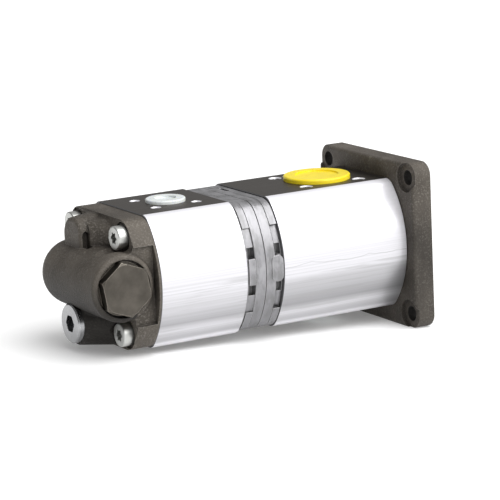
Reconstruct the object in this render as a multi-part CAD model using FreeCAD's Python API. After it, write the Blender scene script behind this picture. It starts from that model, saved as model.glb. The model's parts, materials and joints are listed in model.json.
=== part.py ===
"""Tandem external gear pump: two pump sections on one drive line, with a valve block as rear cover.

Millimetres. The origin is the drive shaft's axis on the mounting face. +X points out of the drive
end, +Y from the drive shaft to the driven gears, +Z up to the inlet ports.
"""
import FreeCAD, Part
import math
import os

os.makedirs("parts", exist_ok=True)

V = FreeCAD.Vector
AXES = {"x": V(1, 0, 0), "y": V(0, 1, 0), "z": V(0, 0, 1)}

# Gear train
MODULE = 3.25
TEETH = 12
PRESSURE_ANGLE = 20.0
CENTRE_DISTANCE = 40.0
ROOT_RADIUS = 16.0
ROOT_FILLET = 1.0
TIP_GAP = 0.8
BACKLASH = 0.08
FLANK_STEPS = 6
FLANK_CROWDING = 1.5
GEAR_WIDTH_FRONT = 44.0
GEAR_WIDTH_REAR = 13.5
JOURNAL_RADIUS = 9.5

# Running and seating clearances
RUN_GAP = 0.03
TIP_RUN_GAP = 0.06
FACE_RUN_GAP = 0.03
BLOCK_GAP = 0.02
END_GAP = 0.3
SLOT_GAP = 0.05

# Ways of working: cuts run on past a surface, and sharp inside corners are found by a short step
OVERCUT = 1.0
NEAR = 0.01
CORNER_STEP = 0.05
CORNER_TURN = 0.2

# Section lengths along the shaft
FLANGE_THICKNESS = 14.0
BLOCK_LENGTH = 23.4
PLATE_THICKNESS = 12.7
COVER_THICKNESS = 14.5

# Outline of the extruded pump bodies
BODY_HALF_HEIGHT = 41.5
BODY_HALF_WIDTH = 50.0
BODY_SIDE_OFFSET = 7.5
BODY_CORNER_RADIUS = 10.0
BODY_EDGE_CHAMFER = 0.5

# Front cover: flange, bolt holes and pilot
FLANGE_WIDTH = 112.0
FLANGE_HEIGHT = 106.6
FLANGE_CORNER = 8.5
FLANGE_EDGE = 2.0
FLANGE_CENTRE_Y = 18.0
FLANGE_HOLE_INSET_Y = 8.5
FLANGE_HOLE_INSET_Z = 9.3
FLANGE_HOLE_RADIUS = 4.75
FLANGE_SPOTFACE_RADIUS = 9.3
FLANGE_SPOTFACE_DEPTH = 2.3
PILOT_RADIUS = 26.0
PILOT_HEIGHT = 7.0
PILOT_CHAMFER = 0.8
PILOT_RING_RADIUS = 1.3
PILOT_RING_X = 3.0
PILOT_RING_SINK = 0.05

# Drive end: shaft nose, tang and lip seal
NOSE_RADIUS = 9.0
TANG_LENGTH = 6.5
TANG_THICKNESS = 8.0
SEAL_RADIUS = 15.0
SEAL_THICKNESS = 6.5
SEAL_BASE_X = -2.0
SEAL_SHELL = 1.2
SEAL_LIP_WIDTH = 1.5
SEAL_LIP_OVERLAP = 0.2
RING_GROOVE_RADIUS = 15.9
RING_WIDTH = 2.2
RING_THICKNESS = 1.2
RING_EYE_ANGLE = 40.0

# Coupling between the two sections
COUPLING_RADIUS = 14.5
COUPLING_BORE_RADIUS = 15.5
COUPLING_LENGTH = 22.0
COUPLING_SLOT_DEPTH = 10.0
COUPLING_TANG_LENGTH = 11.0
COUPLING_TANG_THICKNESS = 8.0
DRAIN_RADIUS = 10.5
DRAIN_DEPTH = 2.0

# Bearing blocks, bushes and their seals
BUSH_OUTER_RADIUS = 11.0
BUSH_LENGTH = 19.0
BUSH_INSET = 1.5
RELIEF_WIDTH = 3.0
RELIEF_HEIGHT = 6.0
RELIEF_DEPTH = 1.5
AXIAL_SEAL_RADIUS = 20.8
AXIAL_SEAL_WIDTH = 2.4
AXIAL_SEAL_DEPTH = 1.8
AXIAL_SEAL_END_Z = 6.0
BODY_SEAL_RADIUS = 25.4
BODY_SEAL_WIDTH = 2.0
BODY_SEAL_DEPTH = 1.6
SEAM_SEAL_RADIUS = 20.0

# Long cap screws through the whole stack
SCREW_SPACING = 60.0
SCREW_RADIUS = 4.0
SCREW_HOLE_RADIUS = 4.4
SCREW_THREAD_LENGTH = 11.0
SCREW_TAP_SPARE = 1.5
SCREW_HEAD_RADIUS = 7.4
SCREW_HEAD_HEIGHT = 8.0
SCREW_HEAD_EDGE = 0.9
SCREW_SPOTFACE_RADIUS = 9.3
SCREW_SPOTFACE_DEPTH = 2.0
SOCKET_LOBES = 6
SOCKET_CORE_RADIUS = 2.9
SOCKET_LOBE_RADIUS = 0.95
SOCKET_LOBE_PITCH = 2.95
SOCKET_DEPTH = 3.5

# Dowel pins at each joint face
DOWEL_RADIUS = 3.0
DOWEL_DEPTH = 6.0
DOWEL_OFFSET_Y = 38.5
DOWEL_OFFSET_Z = 23.0

# Inlet ports on top, outlet ports below
PORT_SETBACK_FRONT = 35.0
PORT_SETBACK_REAR = 28.6
INLET_FRONT = {"pcd": 55.0, "bore": 13.0, "tap": 3.4, "depth": 13.0, "side": 1}
INLET_REAR = {"pcd": 40.0, "bore": 10.0, "tap": 2.5, "depth": 11.0, "side": 1}
OUTLET_FRONT = {"pcd": 40.0, "bore": 10.0, "tap": 2.5, "depth": 11.0, "side": -1}
OUTLET_REAR = {"pcd": 35.0, "bore": 7.5, "tap": 2.5, "depth": 11.0, "side": -1}
PORT_MOUTH_DEPTH = 12.0
PORT_CHANNEL_RADIUS = 6.0
PORT_CHANNEL_END_Z = 6.0
TAP_CHAMFER = 0.9

# Plastic caps pushed into the ports
CAP_INLET_FRONT = {"radius": 21.5, "height": 3.2, "dish": 14.0, "dish_depth": 0.9, "edge": 1.3}
CAP_INLET_REAR = {"radius": 12.5, "height": 2.4, "dish": 6.8, "dish_depth": 1.2, "edge": 1.0}
CAP_OUTLET_FRONT = {"radius": 12.5, "height": 4.8, "dish": 6.8, "dish_depth": 3.2, "edge": 1.2}
CAP_OUTLET_REAR = {"radius": 10.0, "height": 4.8, "dish": 5.0, "dish_depth": 3.2, "edge": 1.2}
CAP_WALL = 1.4
CAP_SKIRT = 7.0

# Intermediate plates, and the outline they share with the rear cover
PLATE_HALF_HEIGHT = 40.6
PLATE_CORNER_RADIUS = 14.0
PLATE_SEAM_WIDTH = 0.3
PLATE_SEAM_DEPTH = 0.8
PLATE_STEP_CHAMFER = 0.5
PLATE_BAND_WIDTH = 5.4
PLATE_PAD_HEIGHT = 16.4
PLATE_WINDOW_HEIGHT = 6.8
PLATE_WINDOW_DEPTH = 6.5
PLATE_WINDOW_LIP = 0.6
PLATE_CORNER_LUG_Z = 26.5
PLATE_FRONT = {"side_inset": 2.2, "top_inset": 0.4, "pad_width": 8.0, "pad_proud": 0.6, "pad_corner": 3.5}
PLATE_REAR = {"side_inset": 0.9, "top_inset": 0.9, "pad_width": 4.8, "pad_proud": 0.4, "pad_corner": 0.6}
PRY_SLOT_LENGTH = 8.0
PRY_SLOT_WIDTH = 2.6
PRY_SLOT_DEPTH = 1.6
PRY_SLOT_OFFSET_Y = 12.5

# Rear cover: machined flat, bosses and valve bore
COVER_RIM = 1.3
BOSS_ROOT_FILLET = 2.5
LOWER_BOSS_ROOT_FILLET = 1.5
COVER_FLAT_INSET = 7.5
COVER_FLAT_Z = (-23.3, 25.3)
VALVE_X = -214.0
VALVE_Z = 2.0
VALVE_BOSS_RADIUS = 20.8
VALVE_BOSS_PROUD = 4.0
VALVE_FAR_INSET = 13.0
VALVE_END_WALL = 19.0
VALVE_BOSS_DOME = 18.0
VALVE_BOSS_RIM = 2.5
VALVE_MOUTH_RADIUS = 17.8
VALVE_MOUTH_DEPTH = 4.0
VALVE_THREAD_RADIUS = 13.5
VALVE_THREAD_LENGTH = 14.0
THREAD_SPARE = 1.0
VALVE_BORE_RADIUS = 9.0
UPPER_BOSS_END_X = -222.0
UPPER_BOSS_ROOT_TOP_Z = 40.3
UPPER_BOSS_TOP_Z = 39.0
UPPER_BOSS_WIDTH = 24.0
UPPER_BOSS_ROOT_INSET = 36.0
UPPER_BOSS_END_INSET = 45.5
UPPER_BOSS_ROUND_NEAR = 9.5
UPPER_BOSS_ROUND_FAR = 12.0
UPPER_BOSS_EDGE = 2.5
POCKET_WIDTH = 4.8
POCKET_DEPTH = 5.0
POCKET_WALL = 1.6
POCKET_Z = (17.0, 29.0)
GUSSET_FOOT_Y = 1.0
GUSSET_REACH = 10.6
GUSSET_OVERLAP = 2.0
GUSSET_TOP_Z = 37.5
GUSSET_ROUND = 7.0
LOWER_BOSS_Z = -25.5
LOWER_BOSS_RADIUS = 14.0
LOWER_BOSS_END_X = -225.0
LOWER_BOSS_EDGE = 1.5
LOWER_BOSS_ROOT_RADIUS = 14.6
LOWER_BOSS_ROOT_Y = 8.0

# Valve parts
HEX_FLATS = 30.0
HEX_TURN = 99.0
HEX_TOP_RADIUS = 15.6
HEX_HEIGHT = 8.5
HEX_COLLAR_RADIUS = 16.5
HEX_COLLAR_HEIGHT = 1.8
PLUG_BORE_RADIUS = 6.6
PLUG_BORE_DEPTH = 12.0
PLUG_SEAL_INSET = 1.0
PLUG_SEAL_WIDTH = 2.2
PLUG_SEAL_HEIGHT = 1.2
SPOOL_LENGTH = 34.0
SPOOL_GROOVE_RADIUS = 6.5
SPOOL_GROOVES = ((14.0, 8.0), (26.0, 4.0))
SPOOL_BORE_DEPTH = 8.0
SPRING_WIRE_RADIUS = 0.9
SPRING_COILS = 5

# Socket plug in the lower boss
SOCKET_PLUG_RADIUS = 12.3
SOCKET_PLUG_COLLAR = 4.0
SOCKET_PLUG_EDGE = 0.8
SOCKET_PLUG_SPOTFACE_GAP = 0.6
SOCKET_PLUG_THREAD_RADIUS = 9.0
SOCKET_PLUG_THREAD_LENGTH = 13.0
SOCKET_PLUG_FLATS = 10.0
SOCKET_PLUG_SOCKET_DEPTH = 7.0
SOCKET_PLUG_SEAL_RADIUS = 11.0
SOCKET_PLUG_SEAL_HEIGHT = 1.2

# Places worked out from the sizes above
FRONT_LENGTH = GEAR_WIDTH_FRONT + 2 * BLOCK_LENGTH
REAR_LENGTH = GEAR_WIDTH_REAR + 2 * BLOCK_LENGTH
X_FRONT = -FLANGE_THICKNESS
X_MID = X_FRONT - FRONT_LENGTH
X_SEAM = X_MID - PLATE_THICKNESS
X_REAR = X_SEAM - PLATE_THICKNESS
X_COVER = X_REAR - REAR_LENGTH
X_COVER_END = X_COVER - COVER_THICKNESS
X_SCREW_SEAT = X_COVER_END + SCREW_SPOTFACE_DEPTH
X_PORTS_FRONT = X_FRONT - PORT_SETBACK_FRONT
X_PORTS_REAR = X_REAR - PORT_SETBACK_REAR
GUSSET_TIP_X = X_COVER_END - GUSSET_REACH
Y_MID = CENTRE_DISTANCE / 2
BODY_SIDE_RADIUS = BODY_HALF_WIDTH + BODY_SIDE_OFFSET
FLANGE_HOLE_SPACING_Y = FLANGE_WIDTH - 2 * FLANGE_HOLE_INSET_Y
FLANGE_HOLE_SPACING_Z = FLANGE_HEIGHT - 2 * FLANGE_HOLE_INSET_Z
COVER_FLAT_Y = Y_MID - BODY_HALF_WIDTH + COVER_FLAT_INSET
VALVE_NEAR_Y = COVER_FLAT_Y - VALVE_BOSS_PROUD
VALVE_SEAT_Y = VALVE_NEAR_Y + VALVE_MOUTH_DEPTH
VALVE_FAR_Y = Y_MID + BODY_HALF_WIDTH - VALVE_FAR_INSET
UPPER_BOSS_ROOT_Y = Y_MID + BODY_HALF_WIDTH - UPPER_BOSS_ROOT_INSET
UPPER_BOSS_END_Y = Y_MID + BODY_HALF_WIDTH - UPPER_BOSS_END_INSET
VALVE_BORE_END_Y = VALVE_FAR_Y - VALVE_END_WALL
TIP_RADIUS = CENTRE_DISTANCE - ROOT_RADIUS - TIP_GAP
CAVITY_RADIUS = TIP_RADIUS + TIP_RUN_GAP
SCREW_PLACES = [(Y_MID + sy * SCREW_SPACING / 2, sz * SCREW_SPACING / 2)
                for sy in (-1, 1) for sz in (-1, 1)]
DOWEL_PLACES = [(Y_MID + s * DOWEL_OFFSET_Y, s * DOWEL_OFFSET_Z) for s in (-1, 1)]


def rod(axis, radius, start, end, a, b):
    """Cylinder along an axis from start to end, at (a, b) on the other two axes in order."""
    low = min(start, end)
    place = {"x": V(low, a, b), "y": V(a, low, b), "z": V(a, b, low)}[axis]
    return Part.makeCylinder(radius, abs(end - start), place, AXES[axis])


def tube(axis, outer, inner, start, end, a, b):
    """Ring along an axis, cut right through."""
    return rod(axis, outer, start, end, a, b).cut(rod(axis, inner, start - OVERCUT, end + OVERCUT, a, b))


def block(x, y, z):
    """Box between the lower and upper bounds of each axis."""
    return Part.makeBox(x[1] - x[0], y[1] - y[0], z[1] - z[0], V(x[0], y[0], z[0]))


def joined(shapes):
    """One solid from touching shapes."""
    return shapes[0].multiFuse(shapes[1:]).removeSplitter()


def prism(axis, points, start, end):
    """Straight-sided solid from corner points, extruded along an axis."""
    order = {"x": lambda p: V(start, p[0], p[1]), "y": lambda p: V(p[0], start, p[1]),
             "z": lambda p: V(p[0], p[1], start)}[axis]
    face = Part.Face(Part.makePolygon([order(p) for p in points + points[:1]]))
    return face.extrude(AXES[axis] * (end - start))


def hexagon(flats, turn):
    """Corner points of a hexagon across flats, turned in degrees."""
    corner = flats / math.sqrt(3)
    return [(corner * math.cos(math.radians(turn + 60 * i)), corner * math.sin(math.radians(turn + 60 * i)))
            for i in range(6)]


def save(name, shape):
    """Write one node."""
    shape.exportStep("parts/" + name + ".step")


# Outlines

def edges_at(shape, axis, limit):
    """Edges that lie wholly at one coordinate of an axis."""
    low, high = axis.upper() + "Min", axis.upper() + "Max"
    return [e for e in shape.Edges
            if abs(getattr(e.BoundBox, low) - limit) < NEAR
            and abs(getattr(e.BoundBox, high) - limit) < NEAR]


def long_edges(shape, length, half_height):
    """Edges along X at the top and bottom of a body prism."""
    return [e for e in shape.Edges
            if abs(e.BoundBox.XLength - length) < NEAR and abs(abs(e.BoundBox.ZMin) - half_height) < NEAR]


def body_prism(x0, x1, half_height=BODY_HALF_HEIGHT, corner=BODY_CORNER_RADIUS, side_inset=0.0):
    """Extruded body outline: two large side arcs, flat top and bottom, rounded shoulders."""
    radius = BODY_SIDE_RADIUS - side_inset
    near = rod("x", radius, x0, x1, Y_MID + BODY_SIDE_OFFSET, 0)
    far = rod("x", radius, x0, x1, Y_MID - BODY_SIDE_OFFSET, 0)
    reach = BODY_HALF_WIDTH + OVERCUT - min(side_inset, 0)
    slab = block((x0, x1), (Y_MID - reach, Y_MID + reach), (-half_height, half_height))
    shape = near.common(far).common(slab)
    return shape.makeFillet(corner, long_edges(shape, x1 - x0, half_height))


def cavity(x0, x1, radius=CAVITY_RADIUS):
    """The figure-eight space that the two gears of a section turn in."""
    return rod("x", radius, x0, x1, 0, 0).fuse(rod("x", radius, x0, x1, CENTRE_DISTANCE, 0)).removeSplitter()


def stadium(x0, x1, radius):
    """Round-ended slot shape around both gear bores."""
    middle = block((x0, x1), (0, CENTRE_DISTANCE), (-radius, radius))
    return joined([rod("x", radius, x0, x1, 0, 0), middle, rod("x", radius, x0, x1, CENTRE_DISTANCE, 0)])


def body_seal(x0, x1):
    """Moulded ring that seals a joint face around both bores."""
    half = BODY_SEAL_WIDTH / 2
    inner = stadium(x0 - OVERCUT, x1 + OVERCUT, BODY_SEAL_RADIUS - half)
    return stadium(x0, x1, BODY_SEAL_RADIUS + half).cut(inner)


def through_holes(shape, x0, x1):
    """Clearance holes for the four long screws."""
    return shape.cut([rod("x", SCREW_HOLE_RADIUS, x0 - OVERCUT, x1 + OVERCUT, y, z) for y, z in SCREW_PLACES])


def dowel_holes(shape, joint_x):
    """Holes on both sides of a joint face for its two dowel pins."""
    return shape.cut([rod("x", DOWEL_RADIUS, joint_x - DOWEL_DEPTH, joint_x + DOWEL_DEPTH, y, z)
                      for y, z in DOWEL_PLACES])


# Gears

def involute(angle):
    """Involute function of a pressure angle in radians."""
    return math.tan(angle) - angle


def half_tooth_angle(radius):
    """Half of the angle that a tooth covers at a radius, in radians."""
    base = MODULE * TEETH / 2 * math.cos(math.radians(PRESSURE_ANGLE))
    pitch_radius = CENTRE_DISTANCE / 2
    at_pitch = (math.pi * pitch_radius / TEETH - BACKLASH / 2) / (2 * pitch_radius)
    return at_pitch + involute(math.acos(base / pitch_radius)) - involute(math.acos(base / max(radius, base)))


def polar(x, radius, angle):
    """Point on the plane across the shaft."""
    return V(x, radius * math.cos(angle), radius * math.sin(angle))


def flank(x, middle, side):
    """Edges of one tooth flank from the root circle to the tip."""
    base = MODULE * TEETH / 2 * math.cos(math.radians(PRESSURE_ANGLE))
    radii = [base + (TIP_RADIUS - base) * (i / FLANK_STEPS) ** FLANK_CROWDING for i in range(FLANK_STEPS + 1)]
    curve = Part.BSplineCurve()
    curve.interpolate([polar(x, r, middle + side * half_tooth_angle(r)) for r in radii])
    line_angle = middle + side * half_tooth_angle(base)
    centre_radius = ROOT_RADIUS + ROOT_FILLET
    turn = math.asin(ROOT_FILLET / centre_radius)
    centre = polar(x, centre_radius, line_angle + side * turn)
    on_line = polar(x, centre_radius * math.cos(turn), line_angle)
    on_root = polar(x, ROOT_RADIUS, line_angle + side * turn)
    outward = ((on_line - centre) + (on_root - centre)).normalize()
    fillet = Part.Arc(on_root, centre + outward * ROOT_FILLET, on_line).toShape()
    return [fillet, Part.makeLine(on_line, polar(x, base, line_angle)), curve.toShape()]


def gear_blank(x0, x1, phase):
    """Straight-toothed gear about the X axis, turned by a phase in radians."""
    pitch = 2 * math.pi / TEETH
    base = MODULE * TEETH / 2 * math.cos(math.radians(PRESSURE_ANGLE))
    root_half = half_tooth_angle(base) + math.asin(ROOT_FILLET / (ROOT_RADIUS + ROOT_FILLET))
    tip_half = half_tooth_angle(TIP_RADIUS)
    edges = []
    for tooth in range(TEETH):
        middle = phase + tooth * pitch
        tip = [polar(x0, TIP_RADIUS, middle + side * tip_half) for side in (-1, 0, 1)]
        root = [polar(x0, ROOT_RADIUS, middle + a) for a in (root_half, pitch / 2, pitch - root_half)]
        edges += flank(x0, middle, -1) + [Part.Arc(*tip).toShape()] + flank(x0, middle, 1)
        edges.append(Part.Arc(*root).toShape())
    wire = Part.Wire(Part.__sortEdges__(edges))
    return Part.Face(wire).extrude(V(x1 - x0, 0, 0))


def tang(x0, x1, thickness, width_radius, upright):
    """Flat-sided drive tongue cut from a round end."""
    half = thickness / 2
    reach = width_radius + OVERCUT
    flat = ((-half, half), (-reach, reach)) if upright else ((-reach, reach), (-half, half))
    return rod("x", width_radius, x0, x1, 0, 0).common(block((x0, x1), flat[0], flat[1]))


def drive_shaft(gear_x):
    """Front drive shaft: nose with tongue, two journals, gear and rear tongue, all one piece."""
    shoulder = X_MID + END_GAP
    nose_end = PILOT_HEIGHT
    return joined([
        rod("x", JOURNAL_RADIUS, shoulder, X_FRONT, 0, 0),
        rod("x", NOSE_RADIUS, X_FRONT, nose_end, 0, 0),
        tang(nose_end, nose_end + TANG_LENGTH, TANG_THICKNESS, NOSE_RADIUS, True),
        tang(shoulder - COUPLING_TANG_LENGTH, shoulder, COUPLING_TANG_THICKNESS, JOURNAL_RADIUS, True),
        gear_blank(gear_x[0], gear_x[1], 0.0)])


def drive_gear_rear(gear_x):
    """Rear drive gear with journals and a tongue towards the coupling."""
    shoulder = X_REAR - END_GAP
    return joined([
        rod("x", JOURNAL_RADIUS, X_COVER + END_GAP, shoulder, 0, 0),
        tang(shoulder, shoulder + COUPLING_TANG_LENGTH, COUPLING_TANG_THICKNESS, JOURNAL_RADIUS, False),
        gear_blank(gear_x[0], gear_x[1], 0.0)])


def driven_gear(section, gear_x):
    """Driven gear with plain journals, half a tooth out of step with its drive gear."""
    journals = rod("x", JOURNAL_RADIUS, section[0] + END_GAP, section[1] - END_GAP, 0, 0)
    shape = journals.fuse(gear_blank(gear_x[0], gear_x[1], math.pi / TEETH)).removeSplitter()
    shape.translate(V(0, CENTRE_DISTANCE, 0))
    return shape


def coupling():
    """Slotted sleeve that joins the two tongues at right angles to each other."""
    middle = X_SEAM
    front, rear = middle + COUPLING_LENGTH / 2, middle - COUPLING_LENGTH / 2
    half = COUPLING_TANG_THICKNESS / 2 + SLOT_GAP
    reach = COUPLING_RADIUS + OVERCUT
    sleeve = rod("x", COUPLING_RADIUS, rear, front, 0, 0)
    front_slot = block((front - COUPLING_SLOT_DEPTH, front + OVERCUT), (-half, half), (-reach, reach))
    rear_slot = block((rear - OVERCUT, rear + COUPLING_SLOT_DEPTH), (-reach, reach), (-half, half))
    return sleeve.cut([front_slot, rear_slot])


# Bearing blocks

def axial_seal(x0, x1, half=AXIAL_SEAL_WIDTH / 2):
    """Three-shaped rubber that keeps outlet pressure on one part of a block's back."""
    outer, inner = AXIAL_SEAL_RADIUS + half, AXIAL_SEAL_RADIUS - half
    reach = CAVITY_RADIUS + OVERCUT
    loops = []
    for y, side in ((0, (-reach, Y_MID)), (CENTRE_DISTANCE, (Y_MID, CENTRE_DISTANCE + reach))):
        lower = block((x0, x1), side, (-reach, AXIAL_SEAL_END_Z))
        loops.append(tube("x", outer, inner, x0, x1, y, 0).common(lower))
    return joined(loops)


def bearing_block(x0, x1, gear_side):
    """Aluminium block with both bush bores, seal groove behind and relief pockets at the mesh."""
    shape = cavity(x0, x1, CAVITY_RADIUS - BLOCK_GAP)
    bores = [rod("x", BUSH_OUTER_RADIUS, x0 - OVERCUT, x1 + OVERCUT, y, 0) for y in (0, CENTRE_DISTANCE)]
    face = x0 if gear_side < 0 else x1
    back = x1 if gear_side < 0 else x0
    groove = axial_seal(*sorted((back, back + gear_side * AXIAL_SEAL_DEPTH)))
    pocket_x = sorted((face, face - gear_side * RELIEF_DEPTH))
    low = ROOT_RADIUS - BUSH_OUTER_RADIUS
    pockets = [block(pocket_x, (Y_MID - RELIEF_WIDTH / 2, Y_MID + RELIEF_WIDTH / 2), z)
               for z in ((low, low + RELIEF_HEIGHT), (-low - RELIEF_HEIGHT, -low))]
    return shape.cut(bores + [groove] + pockets)


def bush(x0, x1, gear_side, y):
    """Thin sliding bush for one journal."""
    face = x0 if gear_side < 0 else x1
    start = face - gear_side * BUSH_INSET
    ends = sorted((start, start - gear_side * BUSH_LENGTH))
    return tube("x", BUSH_OUTER_RADIUS, JOURNAL_RADIUS + RUN_GAP, ends[0], ends[1], y, 0)


def build_section(name, x0, x1, gear_width):
    """Blocks, bushes and axial seals of one section between its joint faces."""
    blocks = {"front": (x1 - BLOCK_LENGTH, x1, -1), "back": (x0, x0 + BLOCK_LENGTH, 1)}
    for place, (low, high, side) in blocks.items():
        label = name + "_" + place
        save("bearing_block_" + label, bearing_block(low, high, side))
        back = high if side < 0 else low
        save("axial_seal_" + label, axial_seal(*sorted((back, back + side * AXIAL_SEAL_DEPTH))))
        save("bush_drive_" + label, bush(low, high, side, 0))
        save("bush_driven_" + label, bush(low, high, side, CENTRE_DISTANCE))
    low = x0 + BLOCK_LENGTH + FACE_RUN_GAP
    return low, low + gear_width - 2 * FACE_RUN_GAP


# Pump bodies with their ports

def port_cut(port, x):
    """Mouth, narrower channel to the mesh and four tapped holes of one flanged port."""
    side = port["side"]
    face = side * BODY_HALF_HEIGHT
    past = face + side * OVERCUT
    cuts = [rod("z", port["bore"], past, face - side * PORT_MOUTH_DEPTH, x, Y_MID),
            rod("z", PORT_CHANNEL_RADIUS, face, side * PORT_CHANNEL_END_Z, x, Y_MID)]
    half = port["pcd"] / 2 * math.sqrt(0.5)
    wide = port["tap"] + TAP_CHAMFER
    for sx in (-1, 1):
        for sy in (-1, 1):
            hx, hy = x + sx * half, Y_MID + sy * half
            cuts.append(rod("z", port["tap"], past, face - side * port["depth"], hx, hy))
            cuts.append(Part.makeCone(wide, port["tap"], TAP_CHAMFER, V(hx, hy, face), V(0, 0, -side)))
    return cuts


def pump_body(x0, x1, ports, port_x):
    """Extruded body: gear cavity, ports, screw and dowel holes, seal grooves at both ends."""
    shape = body_prism(x0, x1)
    rims = edges_at(shape, "x", x0) + edges_at(shape, "x", x1)
    shape = shape.makeChamfer(BODY_EDGE_CHAMFER, rims)
    shape = shape.cut(cavity(x0 - OVERCUT, x1 + OVERCUT))
    shape = shape.cut([body_seal(x0, x0 + BODY_SEAL_DEPTH), body_seal(x1 - BODY_SEAL_DEPTH, x1)])
    for port in ports:
        shape = shape.cut(port_cut(port, port_x))
    shape = through_holes(shape, x0, x1)
    return dowel_holes(dowel_holes(shape, x0), x1)


def port_cap(port, cap, x):
    """Push-in plastic cap: rounded disc with a dished middle and a hollow skirt."""
    side = port["side"]
    disc = rod("z", cap["radius"], 0, cap["height"], 0, 0)
    disc = disc.makeFillet(cap["edge"], edges_at(disc, "z", cap["height"]))
    top = cap["height"]
    disc = disc.cut(rod("z", cap["dish"], top - cap["dish_depth"], top + OVERCUT, 0, 0))
    skirt = tube("z", port["bore"], port["bore"] - CAP_WALL, -CAP_SKIRT, 0, 0, 0)
    shape = disc.fuse(skirt).removeSplitter()
    if side < 0:
        shape.rotate(V(0, 0, 0), V(1, 0, 0), 180)
    shape.translate(V(x, Y_MID, side * BODY_HALF_HEIGHT))
    return shape


# Intermediate plates

def plate_slice(x0, x1, side_inset=0.0, top_inset=0.0):
    """Slice of a plate's outline, set in from the full outline."""
    return body_prism(x0, x1, PLATE_HALF_HEIGHT - top_inset, PLATE_CORNER_RADIUS, side_inset)


def side_blocks(x, depth, z_low, z_high, corner=0.0):
    """A pair of boxes at the two bulging sides, reaching in by a depth, rounded seen from the side."""
    reach = BODY_HALF_WIDTH + 2 * OVERCUT
    boxes = [block(x, (Y_MID - reach, Y_MID - BODY_HALF_WIDTH + depth), (z_low, z_high)),
             block(x, (Y_MID + BODY_HALF_WIDTH - depth, Y_MID + reach), (z_low, z_high))]
    if corner:
        boxes = [b.makeFillet(corner, [e for e in b.Edges if e.BoundBox.YLength > depth]) for b in boxes]
    return boxes


def corner_lugs(x0, x1):
    """Full outline kept at the corners of a band, around the long screws."""
    reach = BODY_HALF_WIDTH + OVERCUT
    outline = plate_slice(x0, x1)
    spans = ((-PLATE_HALF_HEIGHT, -PLATE_CORNER_LUG_Z), (PLATE_CORNER_LUG_Z, PLATE_HALF_HEIGHT))
    return [outline.common(block((x0, x1), (Y_MID - reach, Y_MID + reach), span)) for span in spans]


def pry_slot(joint_x, away):
    """Round-ended slot in the top of a plate, for levering the stack apart."""
    half = PRY_SLOT_WIDTH / 2
    x = joint_x + away * PLATE_BAND_WIDTH
    y = (Y_MID + PRY_SLOT_OFFSET_Y - PRY_SLOT_LENGTH / 2, Y_MID + PRY_SLOT_OFFSET_Y + PRY_SLOT_LENGTH / 2)
    z = (PLATE_HALF_HEIGHT - PRY_SLOT_DEPTH, PLATE_HALF_HEIGHT + OVERCUT)
    ends = [rod("z", half, z[0], z[1], x, end) for end in y]
    return joined([block((x - half, x + half), y, z)] + ends)


def intermediate_plate(joint_x, seam_x, style):
    """Die-cast plate: full outline at the seam, stepped band with pads and windows at the joint."""
    away = 1 if seam_x > joint_x else -1
    step_x = joint_x + away * PLATE_BAND_WIDTH
    rebate_x = seam_x - away * PLATE_SEAM_WIDTH
    main = plate_slice(*sorted((step_x, rebate_x)))
    main = main.makeChamfer(PLATE_STEP_CHAMFER, edges_at(main, "x", step_x))
    rebate = plate_slice(*sorted((rebate_x, seam_x)), PLATE_SEAM_DEPTH, PLATE_SEAM_DEPTH)
    band = plate_slice(*sorted((joint_x, step_x)), style["side_inset"], style["top_inset"])
    lip_x = joint_x + away * PLATE_WINDOW_LIP
    lugs = corner_lugs(*sorted((lip_x, step_x)))
    half = PLATE_PAD_HEIGHT / 2
    pad_x = sorted((lip_x, lip_x + away * style["pad_width"]))
    outline = plate_slice(pad_x[0], pad_x[1], -style["pad_proud"])
    pads = [outline.common(b) for b in
            side_blocks(pad_x, PLATE_WINDOW_DEPTH, -half, half, style["pad_corner"])]
    shape = joined([main, rebate, band] + lugs + pads)
    for low in (half, -half - PLATE_WINDOW_HEIGHT):
        shape = shape.cut(side_blocks(sorted((lip_x, step_x)), PLATE_WINDOW_DEPTH, low,
                                      low + PLATE_WINDOW_HEIGHT))
    ends = sorted((joint_x, seam_x))
    shape = shape.cut([rod("x", COUPLING_BORE_RADIUS, ends[0] - OVERCUT, ends[1] + OVERCUT, 0, 0),
                       rod("x", DRAIN_RADIUS, joint_x - away * OVERCUT, joint_x + away * DRAIN_DEPTH,
                           CENTRE_DISTANCE, 0)])
    return dowel_holes(dowel_holes(through_holes(shape, *ends), joint_x), seam_x)


def seam_seal(x0, x1):
    """Ring that seals the seam around the coupling."""
    half = BODY_SEAL_WIDTH / 2
    return tube("x", SEAM_SEAL_RADIUS + half, SEAM_SEAL_RADIUS - half, x0, x1, 0, 0)


# Front cover and drive end

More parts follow.
